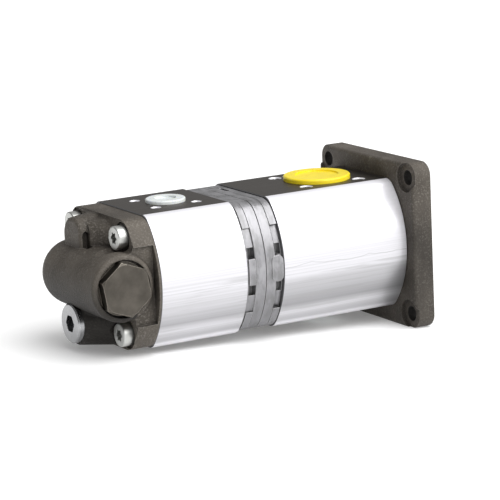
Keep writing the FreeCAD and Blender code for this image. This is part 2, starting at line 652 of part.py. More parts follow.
def front_cover():
    """Cast flange with pilot, seal seat, bolt holes and blind tapped holes for the long screws."""
    y0, z0 = FLANGE_CENTRE_Y - FLANGE_WIDTH / 2, -FLANGE_HEIGHT / 2
    plate = block((X_FRONT, 0), (y0, y0 + FLANGE_WIDTH), (z0, z0 + FLANGE_HEIGHT))
    corners = [e for e in plate.Edges if abs(e.BoundBox.XLength - FLANGE_THICKNESS) < NEAR]
    plate = plate.makeFillet(FLANGE_CORNER, corners)
    plate = plate.makeFillet(FLANGE_EDGE, edges_at(plate, "x", X_FRONT))
    plate = plate.makeChamfer(BODY_EDGE_CHAMFER, edges_at(plate, "x", 0))
    pilot = rod("x", PILOT_RADIUS, -OVERCUT, PILOT_HEIGHT, 0, 0)
    pilot = pilot.makeChamfer(PILOT_CHAMFER, edges_at(pilot, "x", PILOT_HEIGHT))
    shape = joined([plate, pilot])
    back = X_FRONT - OVERCUT
    cuts = [rod("x", SEAL_RADIUS, SEAL_BASE_X, PILOT_HEIGHT + OVERCUT, 0, 0),
            rod("x", DRAIN_RADIUS, back, SEAL_BASE_X + OVERCUT, 0, 0),
            retaining_ring_groove(),
            tube("x", PILOT_RADIUS + OVERCUT, PILOT_RADIUS - 2 * PILOT_RING_RADIUS - PILOT_RING_SINK,
                 PILOT_RING_X - PILOT_RING_RADIUS, PILOT_RING_X + PILOT_RING_RADIUS, 0, 0),
            rod("x", DRAIN_RADIUS, back, X_FRONT + DRAIN_DEPTH, CENTRE_DISTANCE, 0)]
    for sy in (-1, 1):
        for sz in (-1, 1):
            y = FLANGE_CENTRE_Y + sy * FLANGE_HOLE_SPACING_Y / 2
            z = sz * FLANGE_HOLE_SPACING_Z / 2
            cuts.append(rod("x", FLANGE_HOLE_RADIUS, back, OVERCUT, y, z))
            cuts.append(rod("x", FLANGE_SPOTFACE_RADIUS, back, X_FRONT + FLANGE_SPOTFACE_DEPTH, y, z))
    tap_end = X_FRONT + SCREW_THREAD_LENGTH + SCREW_TAP_SPARE
    cuts += [rod("x", SCREW_RADIUS, back, tap_end, y, z) for y, z in SCREW_PLACES]
    return dowel_holes(shape.cut(cuts), X_FRONT)


def retaining_ring_groove():
    """Ring-shaped groove just outside the lip seal."""
    start = SEAL_BASE_X + SEAL_THICKNESS
    return rod("x", RING_GROOVE_RADIUS, start, start + RING_THICKNESS, 0, 0)


def retaining_ring():
    """Inside snap ring with a gap and two lugs."""
    start = SEAL_BASE_X + SEAL_THICKNESS
    end = start + RING_THICKNESS
    ring = tube("x", RING_GROOVE_RADIUS, RING_GROOVE_RADIUS - RING_WIDTH, start, end, 0, 0)
    lug_place = RING_GROOVE_RADIUS - RING_WIDTH
    angles = [math.radians(a) for a in (90 - RING_EYE_ANGLE / 2, 90 + RING_EYE_ANGLE / 2)]
    lugs = [rod("x", RING_WIDTH, start, end, lug_place * math.cos(a), lug_place * math.sin(a))
            for a in angles]
    reach = RING_GROOVE_RADIUS + OVERCUT
    half = lug_place * math.cos(angles[0]) - RING_WIDTH / 2
    return joined([ring] + lugs).cut(block((start - OVERCUT, end + OVERCUT), (-half, half), (0, reach)))


def shaft_seal():
    """Lip seal: steel-backed rubber body with a lip on the shaft nose."""
    start, end = SEAL_BASE_X, SEAL_BASE_X + SEAL_THICKNESS
    back = tube("x", SEAL_RADIUS, NOSE_RADIUS + 2 * SEAL_SHELL, end - SEAL_SHELL, end, 0, 0)
    shell = tube("x", SEAL_RADIUS, SEAL_RADIUS - SEAL_SHELL, start, end, 0, 0)
    lip = tube("x", NOSE_RADIUS + RUN_GAP + SEAL_SHELL, NOSE_RADIUS + RUN_GAP,
               start + SEAL_LIP_WIDTH, start + 2 * SEAL_LIP_WIDTH, 0, 0)
    profile = [(start + 2 * SEAL_LIP_WIDTH - SEAL_LIP_OVERLAP, NOSE_RADIUS + RUN_GAP + SEAL_SHELL / 2),
               (end - SEAL_SHELL, NOSE_RADIUS + 2 * SEAL_SHELL),
               (end, NOSE_RADIUS + 2 * SEAL_SHELL),
               (end, NOSE_RADIUS + 3 * SEAL_SHELL),
               (start + SEAL_LIP_WIDTH, NOSE_RADIUS + RUN_GAP + SEAL_SHELL)]
    wire = Part.makePolygon([V(x, r, 0) for x, r in profile + profile[:1]])
    membrane = Part.Face(wire).revolve(V(0, 0, 0), V(1, 0, 0), 360)
    return joined([shell, back, lip, membrane])


def pilot_o_ring():
    """Round-section ring in the pilot's groove."""
    centre = PILOT_RADIUS - PILOT_RING_SINK - PILOT_RING_RADIUS
    return Part.makeTorus(centre, PILOT_RING_RADIUS, V(PILOT_RING_X, 0, 0), V(1, 0, 0))


# Fasteners

def cover_screw(y, z):
    """Long cap screw with a round head and a six-lobed socket."""
    tip = X_FRONT + SCREW_THREAD_LENGTH
    shank = rod("x", SCREW_RADIUS, X_SCREW_SEAT, tip, y, z)
    shank = shank.makeChamfer(SCREW_RADIUS / 5, edges_at(shank, "x", tip))
    top = X_SCREW_SEAT - SCREW_HEAD_HEIGHT
    head = rod("x", SCREW_HEAD_RADIUS, top, X_SCREW_SEAT, y, z)
    head = head.makeFillet(SCREW_HEAD_EDGE, edges_at(head, "x", top))
    depth = (top - OVERCUT, top + SOCKET_DEPTH)
    socket = [rod("x", SOCKET_CORE_RADIUS, *depth, y, z)]
    for i in range(SOCKET_LOBES):
        angle = 2 * math.pi * i / SOCKET_LOBES
        socket.append(rod("x", SOCKET_LOBE_RADIUS, *depth, y + SOCKET_LOBE_PITCH * math.cos(angle),
                          z + SOCKET_LOBE_PITCH * math.sin(angle)))
    return joined([shank, head]).cut(socket[0].multiFuse(socket[1:]))


def dowel_pins():
    """Two pins at each of the five joint faces."""
    pins = []
    for joint_x in (X_FRONT, X_MID, X_SEAM, X_REAR, X_COVER):
        for y, z in DOWEL_PLACES:
            pins.append(rod("x", DOWEL_RADIUS, joint_x - DOWEL_DEPTH, joint_x + DOWEL_DEPTH, y, z))
    return Part.makeCompound(pins)


# Rear cover with its valve

def rounded_section(x, y_mid, width, top, bottom, near, far):
    """Cross-section of the upper boss: straight sides, a flat top and two corner radii."""
    y0, y1 = y_mid - width / 2, y_mid + width / 2
    slant = 1 - math.sqrt(0.5)
    arcs = [Part.Arc(V(x, y0, top - near), V(x, y0 + slant * near, top - slant * near), V(x, y0 + near, top)),
            Part.Arc(V(x, y1 - far, top), V(x, y1 - slant * far, top - slant * far), V(x, y1, top - far))]
    lines = [(V(x, y0, bottom), V(x, y0, top - near)), (V(x, y0 + near, top), V(x, y1 - far, top)),
             (V(x, y1, top - far), V(x, y1, bottom)), (V(x, y1, bottom), V(x, y0, bottom))]
    edges = [a.toShape() for a in arcs] + [Part.makeLine(*ends) for ends in lines]
    return Part.Wire(Part.__sortEdges__(edges))


def upper_boss():
    """Boss with a flat top that swings inwards as it leaves the joint, with a rounded end."""
    ends = ((X_COVER, UPPER_BOSS_ROOT_Y, UPPER_BOSS_ROOT_TOP_Z),
            (UPPER_BOSS_END_X, UPPER_BOSS_END_Y, UPPER_BOSS_TOP_Z))
    sections = [rounded_section(x, y, UPPER_BOSS_WIDTH, top, VALVE_Z,
                                UPPER_BOSS_ROUND_NEAR, UPPER_BOSS_ROUND_FAR) for x, y, top in ends]
    shape = Part.makeLoft(sections, True, True)
    rim = [e for e in edges_at(shape, "x", UPPER_BOSS_END_X) if e.BoundBox.ZMax > VALVE_Z + NEAR]
    return shape.makeFillet(UPPER_BOSS_EDGE, rim)


def upper_pocket():
    """Upright round-ended pocket in the near side of the upper boss."""
    x0 = UPPER_BOSS_END_X + POCKET_WALL
    x_mid, half = x0 + POCKET_WIDTH / 2, POCKET_WIDTH / 2
    near = UPPER_BOSS_END_Y - UPPER_BOSS_WIDTH / 2
    y = (near - POCKET_WIDTH, near + POCKET_DEPTH)
    ends = [rod("y", half, y[0], y[1], x_mid, z) for z in POCKET_Z]
    return joined([block((x0, x0 + POCKET_WIDTH), y, POCKET_Z)] + ends)


def gusset():
    """Sloped web from the upper boss down to the plate beside the near screw."""
    far = UPPER_BOSS_ROOT_Y - UPPER_BOSS_WIDTH / 2 + GUSSET_OVERLAP
    near = UPPER_BOSS_END_Y - UPPER_BOSS_WIDTH / 2
    root = X_COVER_END + OVERCUT
    plan = [(root, GUSSET_FOOT_Y), (root, far), (GUSSET_TIP_X, far), (GUSSET_TIP_X, near)]
    web = prism("z", plan, VALVE_Z, GUSSET_TOP_Z)
    slope = [e for e in edges_at(web, "z", GUSSET_TOP_Z)
             if min(e.BoundBox.XLength, e.BoundBox.YLength) > NEAR]
    return web.makeFillet(GUSSET_ROUND, slope)


def lower_boss():
    """Round boss for the socket plug, flared towards the near side where it meets the plate."""
    straight = rod("x", LOWER_BOSS_RADIUS, LOWER_BOSS_END_X, X_COVER - COVER_RIM, Y_MID, LOWER_BOSS_Z)
    straight = straight.makeFillet(LOWER_BOSS_EDGE, edges_at(straight, "x", LOWER_BOSS_END_X))
    places = ((LOWER_BOSS_END_X + LOWER_BOSS_EDGE, Y_MID, LOWER_BOSS_RADIUS),
              (X_COVER_END + OVERCUT, LOWER_BOSS_ROOT_Y, LOWER_BOSS_ROOT_RADIUS))
    rings = [Part.Wire(Part.makeCircle(radius, V(x, y, LOWER_BOSS_Z), AXES["x"])) for x, y, radius in places]
    return joined([straight, Part.makeLoft(rings, True, True)])


def valve_boss():
    """Round boss across the cover, domed at its far end."""
    shape = rod("y", VALVE_BOSS_RADIUS, VALVE_NEAR_Y, VALVE_FAR_Y, VALVE_X, VALVE_Z)
    shape = shape.makeFillet(VALVE_BOSS_DOME, edges_at(shape, "y", VALVE_FAR_Y))
    return shape.makeFillet(VALVE_BOSS_RIM, edges_at(shape, "y", VALVE_NEAR_Y))


def valve_bores():
    """Plug mouth, thread and spool bore along Y, and the socket plug's hole along X."""
    plug_end = LOWER_BOSS_END_X + SOCKET_PLUG_THREAD_LENGTH + THREAD_SPARE
    past = LOWER_BOSS_END_X - OVERCUT
    return [rod("y", VALVE_MOUTH_RADIUS, VALVE_NEAR_Y - OVERCUT, VALVE_SEAT_Y, VALVE_X, VALVE_Z),
            rod("y", VALVE_THREAD_RADIUS, VALVE_SEAT_Y - OVERCUT, VALVE_SEAT_Y + VALVE_THREAD_LENGTH,
                VALVE_X, VALVE_Z),
            rod("y", VALVE_BORE_RADIUS, VALVE_SEAT_Y, VALVE_BORE_END_Y, VALVE_X, VALVE_Z),
            rod("x", SOCKET_PLUG_THREAD_RADIUS, past, plug_end, Y_MID, LOWER_BOSS_Z),
            rod("x", SOCKET_PLUG_SEAL_RADIUS, past, LOWER_BOSS_END_X + SOCKET_PLUG_SEAL_HEIGHT,
                Y_MID, LOWER_BOSS_Z),
            rod("x", SOCKET_PLUG_RADIUS + SOCKET_PLUG_SPOTFACE_GAP,
                VALVE_X - VALVE_BOSS_RADIUS - OVERCUT, LOWER_BOSS_END_X, Y_MID, LOWER_BOSS_Z)]


def inside_corners(shape, x):
    """Edges at one X position where faces meet in a sharp inside corner."""
    found = []
    for edge in edges_at(shape, "x", x):
        middle = edge.valueAt((edge.FirstParameter + edge.LastParameter) / 2)
        normals = [face.normalAt(*face.Surface.parameter(middle))
                   for face in shape.ancestorsOfType(edge, Part.Face)]
        across = normals[0] - normals[-1]
        if across.Length > CORNER_TURN and shape.isInside(middle + across * CORNER_STEP, NEAR, False):
            found.append(edge)
    return found


def cover_casting():
    """Raw casting of the rear cover: plate and bosses, blended where they leave the plate."""
    shape = joined([plate_slice(X_COVER_END, X_COVER), upper_boss(), gusset(), valve_boss()])
    shape = shape.makeFillet(BOSS_ROOT_FILLET, inside_corners(shape, X_COVER_END))
    shape = joined([shape, lower_boss()])
    return shape.makeFillet(LOWER_BOSS_ROOT_FILLET, inside_corners(shape, X_COVER_END))


def rear_cover():
    """Rear cover: its casting with the machined flat, screw seats, bores and the pocket."""
    reach = BODY_HALF_WIDTH + OVERCUT
    flat_x = (X_COVER_END - BOSS_ROOT_FILLET - OVERCUT, X_COVER - COVER_RIM)
    flat = block(flat_x, (Y_MID - reach, COVER_FLAT_Y), COVER_FLAT_Z)
    seats = [rod("x", SCREW_SPOTFACE_RADIUS, X_SCREW_SEAT, LOWER_BOSS_END_X, y, z) for y, z in SCREW_PLACES]
    shape = cover_casting().cut([flat.cut(valve_boss())] + seats + valve_bores() + [upper_pocket()])
    shape = shape.cut([rod("x", DRAIN_RADIUS, X_COVER - DRAIN_DEPTH, X_COVER + OVERCUT, y, 0)
                       for y in (0, CENTRE_DISTANCE)])
    return dowel_holes(through_holes(shape, X_COVER_END, X_COVER), X_COVER)


def hex_prism(flats, turn, y0, y1):
    """Hexagon bar along Y at the valve's axis."""
    points = [(VALVE_X + px, VALVE_Z + pz) for px, pz in hexagon(flats, turn)]
    return prism("y", points, y0, y1)


def valve_plug():
    """Hexagon screw plug with a collar, a hollow thread for the spring and a chamfered head."""
    seat = VALVE_SEAT_Y
    collar = seat - HEX_COLLAR_HEIGHT
    top = seat - HEX_HEIGHT
    end = seat + VALVE_THREAD_LENGTH - THREAD_SPARE
    cone = Part.makeCone(HEX_TOP_RADIUS, HEX_TOP_RADIUS + 2 * HEX_HEIGHT, HEX_HEIGHT,
                         V(VALVE_X, top, VALVE_Z), V(0, 1, 0))
    head = hex_prism(HEX_FLATS, HEX_TURN, top, seat).common(cone)
    shape = joined([head, rod("y", HEX_COLLAR_RADIUS, collar, seat, VALVE_X, VALVE_Z),
                    rod("y", VALVE_THREAD_RADIUS, seat, end, VALVE_X, VALVE_Z)])
    hollow = rod("y", PLUG_BORE_RADIUS + SPRING_WIRE_RADIUS, end - PLUG_BORE_DEPTH, end + OVERCUT,
                 VALVE_X, VALVE_Z)
    return shape.cut([hollow, valve_plug_seal()])


def valve_plug_seal():
    """Flat ring under the plug's collar."""
    outer = HEX_COLLAR_RADIUS - PLUG_SEAL_INSET
    return tube("y", outer, outer - PLUG_SEAL_WIDTH, VALVE_SEAT_Y - PLUG_SEAL_HEIGHT, VALVE_SEAT_Y,
                VALVE_X, VALVE_Z)


def valve_spool():
    """Sliding spool with two control grooves and a pocket for the spring."""
    y0 = VALVE_BORE_END_Y - SPOOL_LENGTH
    shape = rod("y", VALVE_BORE_RADIUS - RUN_GAP, y0, VALVE_BORE_END_Y, VALVE_X, VALVE_Z)
    cuts = [tube("y", VALVE_BORE_RADIUS + OVERCUT, SPOOL_GROOVE_RADIUS, y0 + start, y0 + start + width,
                 VALVE_X, VALVE_Z) for start, width in SPOOL_GROOVES]
    cuts.append(rod("y", PLUG_BORE_RADIUS, y0 - OVERCUT, y0 + SPOOL_BORE_DEPTH, VALVE_X, VALVE_Z))
    return shape.cut(cuts)


def valve_spring():
    """Coil spring between the plug's hollow and the spool's pocket."""
    plug_floor = VALVE_SEAT_Y + VALVE_THREAD_LENGTH - THREAD_SPARE - PLUG_BORE_DEPTH
    spool_floor = VALVE_BORE_END_Y - SPOOL_LENGTH + SPOOL_BORE_DEPTH
    coil_radius = PLUG_BORE_RADIUS - SPRING_WIRE_RADIUS - RUN_GAP
    start = plug_floor + SPRING_WIRE_RADIUS
    length = spool_floor - plug_floor - 2 * SPRING_WIRE_RADIUS
    helix = Part.makeHelix(length / SPRING_COILS, length, coil_radius)
    circle = Part.Wire(Part.makeCircle(SPRING_WIRE_RADIUS, V(coil_radius, 0, 0), V(0, 1, 0)))
    spring = Part.Wire(helix).makePipeShell([circle], True, True)
    spring.rotate(V(0, 0, 0), V(1, 0, 0), -90)
    spring.translate(V(VALVE_X, start, VALVE_Z))
    return spring


def socket_plug():
    """Screw plug with a thick round collar and a hexagon socket."""
    face = LOWER_BOSS_END_X - SOCKET_PLUG_COLLAR
    collar = rod("x", SOCKET_PLUG_RADIUS, face, LOWER_BOSS_END_X, Y_MID, LOWER_BOSS_Z)
    collar = collar.makeChamfer(SOCKET_PLUG_EDGE, edges_at(collar, "x", face))
    thread = rod("x", SOCKET_PLUG_THREAD_RADIUS, LOWER_BOSS_END_X,
                 LOWER_BOSS_END_X + SOCKET_PLUG_THREAD_LENGTH, Y_MID, LOWER_BOSS_Z)
    points = [(Y_MID + py, LOWER_BOSS_Z + pz) for py, pz in hexagon(SOCKET_PLUG_FLATS, 0)]
    socket = prism("x", points, face - OVERCUT, face + SOCKET_PLUG_SOCKET_DEPTH)
    return joined([collar, thread]).cut(socket)


def socket_plug_seal():
    """Flat ring sunk in the lower boss under the socket plug."""
    return tube("x", SOCKET_PLUG_SEAL_RADIUS, SOCKET_PLUG_THREAD_RADIUS, LOWER_BOSS_END_X,
                LOWER_BOSS_END_X + SOCKET_PLUG_SEAL_HEIGHT, Y_MID, LOWER_BOSS_Z)


def build_housing():
    """Covers, bodies, plates and their seals."""
    save("front_cover", front_cover())
    save("front_body", pump_body(X_MID, X_FRONT, (INLET_FRONT, OUTLET_FRONT), X_PORTS_FRONT))
    groove_x = (X_SEAM, X_SEAM + BODY_SEAL_DEPTH)
    plate = intermediate_plate(X_MID, X_SEAM, PLATE_FRONT)
    save("intermediate_front", plate.cut([seam_seal(*groove_x), pry_slot(X_MID, -1)]))
    save("intermediate_rear", intermediate_plate(X_REAR, X_SEAM, PLATE_REAR))
    save("rear_body", pump_body(X_COVER, X_REAR, (INLET_REAR, OUTLET_REAR), X_PORTS_REAR))
    save("rear_cover", rear_cover())
    save("seal_front_cover", body_seal(X_FRONT - BODY_SEAL_DEPTH, X_FRONT))
    save("seal_front_body", body_seal(X_MID, X_MID + BODY_SEAL_DEPTH))
    save("seal_seam", seam_seal(*groove_x))
    save("seal_rear_body", body_seal(X_REAR - BODY_SEAL_DEPTH, X_REAR))
    save("seal_rear_cover", body_seal(X_COVER, X_COVER + BODY_SEAL_DEPTH))


def build_drive_line():
    """Both sections' gears, blocks and bushes, and the coupling between them."""
    front_gear = build_section("front", X_MID, X_FRONT, GEAR_WIDTH_FRONT)
    rear_gear = build_section("rear", X_COVER, X_REAR, GEAR_WIDTH_REAR)
    save("drive_shaft", drive_shaft(front_gear))
    save("driven_gear_front", driven_gear((X_MID, X_FRONT), front_gear))
    save("drive_gear_rear", drive_gear_rear(rear_gear))
    save("driven_gear_rear", driven_gear((X_COVER, X_REAR), rear_gear))
    save("coupling", coupling())


def build_small_parts():
    """Drive end seal, fasteners, port caps and valve parts."""
    save("shaft_seal", shaft_seal())
    save("retaining_ring", retaining_ring())
    save("pilot_o_ring", pilot_o_ring())
    save("dowel_pins", dowel_pins())
    save("cover_screws", Part.makeCompound([cover_screw(y, z) for y, z in SCREW_PLACES]))
    save("port_cap_front_top", port_cap(INLET_FRONT, CAP_INLET_FRONT, X_PORTS_FRONT))
    save("port_cap_rear_top", port_cap(INLET_REAR, CAP_INLET_REAR, X_PORTS_REAR))
    save("port_cap_front_bottom", port_cap(OUTLET_FRONT, CAP_OUTLET_FRONT, X_PORTS_FRONT))
    save("port_cap_rear_bottom", port_cap(OUTLET_REAR, CAP_OUTLET_REAR, X_PORTS_REAR))
    save("valve_plug", valve_plug())
    save("valve_plug_seal", valve_plug_seal())
    save("valve_spool", valve_spool())
    save("valve_spring", valve_spring())
    save("socket_plug", socket_plug())
    save("socket_plug_seal", socket_plug_seal())


build_housing()
build_drive_line()
build_small_parts()
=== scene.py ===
"""Looks of a tandem gear pump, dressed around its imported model.

Metres, in the model's own frame: the drive shaft's axis on the mounting face is the origin, +X leaves the
drive end, +Y runs to the driven gears and +Z up to the inlet ports. The finishes place their marks in
millimetres, scale their noise in waves a metre and give reaches, rims and reliefs in metres.
"""

import json
import logging
import math
from dataclasses import dataclass, field
from enum import Enum
from typing import ClassVar, NamedTuple

import bpy
from mathutils import Matrix, Vector


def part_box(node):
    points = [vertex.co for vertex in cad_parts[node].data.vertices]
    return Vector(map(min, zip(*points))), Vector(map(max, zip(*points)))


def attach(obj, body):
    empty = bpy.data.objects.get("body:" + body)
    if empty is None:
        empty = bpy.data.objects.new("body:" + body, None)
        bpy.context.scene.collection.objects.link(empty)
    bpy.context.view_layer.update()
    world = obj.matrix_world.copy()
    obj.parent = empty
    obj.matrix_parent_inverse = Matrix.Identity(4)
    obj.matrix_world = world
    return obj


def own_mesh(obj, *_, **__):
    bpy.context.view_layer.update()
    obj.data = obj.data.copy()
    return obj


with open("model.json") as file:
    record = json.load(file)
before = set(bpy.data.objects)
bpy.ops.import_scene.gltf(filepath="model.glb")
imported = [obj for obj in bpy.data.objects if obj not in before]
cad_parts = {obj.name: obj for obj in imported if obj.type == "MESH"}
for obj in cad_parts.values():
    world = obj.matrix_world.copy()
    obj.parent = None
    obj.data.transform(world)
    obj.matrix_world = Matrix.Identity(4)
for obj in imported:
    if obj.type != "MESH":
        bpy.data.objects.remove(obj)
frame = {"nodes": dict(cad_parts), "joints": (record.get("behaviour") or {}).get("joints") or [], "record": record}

LOG = logging.getLogger("gear_pump")
MM = 0.001
GEARS_MIDDLE_Y = 20.0
Colour = tuple[float, float, float]


class Pattern(NamedTuple):
    """A noise: its scale in waves a metre, the number of its finer layers and their strength."""

    scale: float | Colour
    detail: float = 2.0
    rough: float = 0.5


class Step(NamedTuple):
    """Where a mask changes: the middle of the change and its width."""

    limit: float
    soft: float


class Band(NamedTuple):
    """Where a mask is 1: its low and high limits and the width of each change."""

    low: float
    high: float
    soft: float


class Mark(NamedTuple):
    """A grey that is laid over a finish, and its share where its mask is 1."""

    share: float
    tone: float


class Streak(NamedTuple):
    """Streaks along a body: their pattern and step, share above, further share below, and grey."""

    pattern: Pattern
    step: Step
    upper: float
    lower: float
    tone: float


def grey(value: float) -> Colour:
    """Return a neutral colour of one brightness."""
    return (value, value, value)


class Wire:
    """A shader value that can be used in plain arithmetic."""

    def __init__(self, nodes: "Nodes", socket: bpy.types.NodeSocket) -> None:
        """Keep the socket and the tree that it belongs to."""
        self.nodes = nodes
        self.socket = socket

    def _math(self, operation: str, *values: "float | Wire", clamp: bool = False) -> "Wire":
        """Add one Math node.

        Args:
            operation: The Math node's operation.
            values: Its inputs in order.
            clamp: Whether the result is kept between 0 and 1.

        Returns:
            The node's result.
        """
        settings = {"operation": operation, "use_clamp": clamp}
        return self.nodes.node("ShaderNodeMath", settings, dict(enumerate(values)))

    def __add__(self, other: "float | Wire") -> "Wire":
        """Return self + other."""
        return self._math("ADD", self, other)

    def __radd__(self, other: float) -> "Wire":
        """Return other + self."""
        return self._math("ADD", other, self)

    def __sub__(self, other: "float | Wire") -> "Wire":
        """Return self - other."""
        return self._math("SUBTRACT", self, other)

    def __rsub__(self, other: float) -> "Wire":
        """Return other - self."""
        return self._math("SUBTRACT", other, self)

    def __mul__(self, other: "float | Wire") -> "Wire":
        """Return self * other."""
        return self._math("MULTIPLY", self, other)

    def __rmul__(self, other: float) -> "Wire":
        """Return other * self."""
        return self._math("MULTIPLY", other, self)

    def __truediv__(self, other: "float | Wire") -> "Wire":
        """Return self / other."""
        return self._math("DIVIDE", self, other)

    def __pow__(self, other: float) -> "Wire":
        """Return self to a power."""
        return self._math("POWER", self, other)

    def __abs__(self) -> "Wire":
        """Return the size of self without its sign."""
        return self._math("ABSOLUTE", self)

    def at_most(self, limit: "float | Wire") -> "Wire":
        """Return the smaller of self and a limit."""
        return self._math("MINIMUM", self, limit)

    def at_least(self, limit: "float | Wire") -> "Wire":
        """Return the larger of self and a limit."""
        return self._math("MAXIMUM", self, limit)

    def above(self, step: Step) -> "Wire":
        """Return 0 below a step and 1 above it."""
        values = {0: self, 1: step.limit - step.soft / 2, 2: step.limit + step.soft / 2}
        return self.nodes.node("ShaderNodeMapRange", {"interpolation_type": "SMOOTHSTEP"}, values)

    def below(self, step: Step) -> "Wire":
        """Return 1 below a step and 0 above it."""
        return 1 - self.above(step)

    def between(self, band: Band) -> "Wire":
        """Return 1 inside a band and 0 outside it."""
        return self.above(Step(band.low, band.soft)).times(self.below(Step(band.high, band.soft)))

    def times(self, other: "Wire") -> "Wire":
        """Return the product of two masks, kept between 0 and 1."""
        return self._math("MULTIPLY", self, other, clamp=True)

    def dimmed(self, tone: float) -> "Wire":
        """Return 1 outside the mask and a darker tone inside it."""
        return 1 - self * (1 - tone)

    def swing(self, span: float) -> "Wire":
        """Return a noise around 0 instead of 0.5, stretched to a span."""
        return (self - 0.5) * span


class Nodes:
    """A node tree and the helpers that build it."""

    def __init__(self, tree: bpy.types.NodeTree) -> None:
        """Keep the tree that nodes are added to."""
        self.tree = tree

    def node(self, kind: str, settings: dict | None = None, inputs: dict | None = None,
             output: int | str = 0) -> Wire:
        """Add one node.

        Args:
            kind: The node's type.
            settings: Its own settings; "stops" holds a colour ramp's (position, colour) pairs.
            inputs: Values or wires of its sockets, by index or name.
            output: The output that is returned.

        Returns:
            The chosen output.
        """
        made = self.tree.nodes.new(kind)
        for key, value in (settings or {}).items():
            if key == "stops":
                self._stops(made.color_ramp, value)
            else:
                setattr(made, key, value)
        for key, value in (inputs or {}).items():
            self.feed(made.inputs[key], value)
        return Wire(self, made.outputs[output])

    @staticmethod
    def _stops(ramp: bpy.types.ColorRamp, stops: list[tuple[float, Colour]]) -> None:
        """Set the stops of a colour ramp.

        Args:
            ramp: The ramp, new and with two stops.
            stops: A position and a colour for each stop, in order.
        """
        while len(ramp.elements) < len(stops):
            ramp.elements.new(1.0)
        for element, (position, colour) in zip(ramp.elements, stops):
            element.position = position
            element.color = (*colour, 1.0)

    def feed(self, socket: bpy.types.NodeSocket, value: "float | Colour | Wire") -> None:
        """Link a wire to a socket, or set the socket's own value.

        Args:
            socket: The input that is fed.
            value: A wire, or a value of the socket's kind; a colour's opacity is added.
        """
        if isinstance(value, Wire):
            self.tree.links.new(value.socket, socket)
        elif isinstance(value, tuple) and len(socket.default_value) == len(value) + 1:
            socket.default_value = (*value, 1.0)
        else:
            socket.default_value = value

    def mix(self, mask: "float | Wire", low: "Colour | Wire", high: "Colour | Wire",
            blend: str = "MIX") -> Wire:
        """Mix two colours.

        Args:
            mask: How much of the second colour shows.
            low: The colour where the mask is 0.
            high: The colour that is mixed in.
            blend: How the second colour acts on the first.

        Returns:
            The mixed colour.
        """
        settings = {"data_type": "RGBA", "blend_type": blend}
        return self.node("ShaderNodeMix", settings, {0: mask, 6: low, 7: high}, output=2)


class Shader(Nodes):
    """One material: a Principled shader and what feeds it."""

    SAMPLES: ClassVar[int] = 6

    def __init__(self, name: str) -> None:
        """Start a material.

        Args:
            name: The material's name.
        """
        self.material = bpy.data.materials.new(name)
        self.material.use_nodes = True
        super().__init__(self.material.node_tree)
        self.base = self.tree.nodes["Principled BSDF"]
        self._place: Wire | None = None

    def set(self, **values: "float | Colour | Wire") -> None:
        """Feed the Principled shader's sockets, with underscores for spaces in their names."""
        for key, value in values.items():
            self.feed(self.base.inputs[key.replace("_", " ")], value)

    @property
    def place(self) -> Wire:
        """The point's place in the model's frame.

        Returns:
            The place, in metres.
        """
        if self._place is None:
            self._place = self.node("ShaderNodeTexCoord", output="Object")
        return self._place

    def axis(self, letter: str) -> Wire:
        """Return one coordinate of the place, in millimetres."""
        part = self.node("ShaderNodeSeparateXYZ", inputs={0: self.place}, output="xyz".index(letter))
        return part * (1 / MM)

    def noise(self, pattern: Pattern) -> Wire:
        """Add noise.

        Args:
            pattern: Its scale, which is one number or one for each axis, and its finer layers.

        Returns:
            Noise around 0.5.
        """
        scale = pattern.scale
        factors = scale if isinstance(scale, tuple) else (scale, scale, scale)
        stretched = self.node("ShaderNodeMapping", inputs={"Vector": self.place, "Scale": factors})
        values = {"Vector": stretched, "Scale": 1.0, "Detail": pattern.detail, "Roughness": pattern.rough}
        return self.node("ShaderNodeTexNoise", {"noise_dimensions": "3D"}, values)

    def painted_light_bands(self, height: Wire, painted_light_bands: tuple[tuple[float, float], ...], tint: Colour) -> Wire:
        """Turn a height into a tinted grey: painted light, shade and reflections that change with height.

        Args:
            height: The height, in millimetres.
            painted_light_bands: A height and a brightness for each stop, from the lowest up.
            tint: What the brightness is multiplied by in red, green and blue.

        Returns:
            The colour at that height.
        """
        low, high = painted_light_bands[0][0], painted_light_bands[-1][0]
        stops = [((z - low) / (high - low), tuple(tone * part for part in tint)) for z, tone in painted_light_bands]
        return self.node("ShaderNodeValToRGB", {"stops": stops}, {0: (height - low) / (high - low)})

    def laid(self, mask: Wire, under: "Colour | Wire", mark: Mark) -> Wire:
        """Return a colour with a mark laid over it where the mask is 1."""
        return self.mix(mask * mark.share, under, grey(mark.tone))

    def bump(self, height: Wire, relief: float, strength: float, normal: Wire) -> Wire:
        """Turn a height into a shading normal.

        Args:
            height: The height, around 0 to 1.
            relief: What a height of 1 stands for, in metres.
            strength: How much of it shows.
            normal: The normal that the bump is added to.

        Returns:
            The bumped normal.
        """
        values = {"Height": height, "Distance": relief, "Strength": strength, "Normal": normal}
        return self.node("ShaderNodeBump", inputs=values)

    def rounded(self, radius: float) -> Wire:
        """Return a normal that rounds the edges off, by a radius in metres."""
        return self.node("ShaderNodeBevel", {"samples": self.SAMPLES}, {"Radius": radius})

    def open_air(self, reach: float) -> Wire:
        """Return 1 on open faces and less where a wall stands within a reach, in metres."""
        settings = {"samples": self.SAMPLES, "only_local": True}
        return self.node("ShaderNodeAmbientOcclusion", settings, {"Distance": reach}, output="AO")

    def edges(self, reach: float, gain: float) -> Wire:
        """Find the edges.

        Args:
            reach: How far the mask reaches from an edge, in metres.
            gain: How quickly it fills.

        Returns:
            A mask, 1 at an edge and 0 on plain faces.
        """
        true = self.node("ShaderNodeNewGeometry", output="True Normal")
        facing = self.node("ShaderNodeVectorMath", {"operation": "DOT_PRODUCT"},
                           {0: self.rounded(reach), 1: true}, output="Value")
        return ((1 - facing) * gain).at_most(1.0)


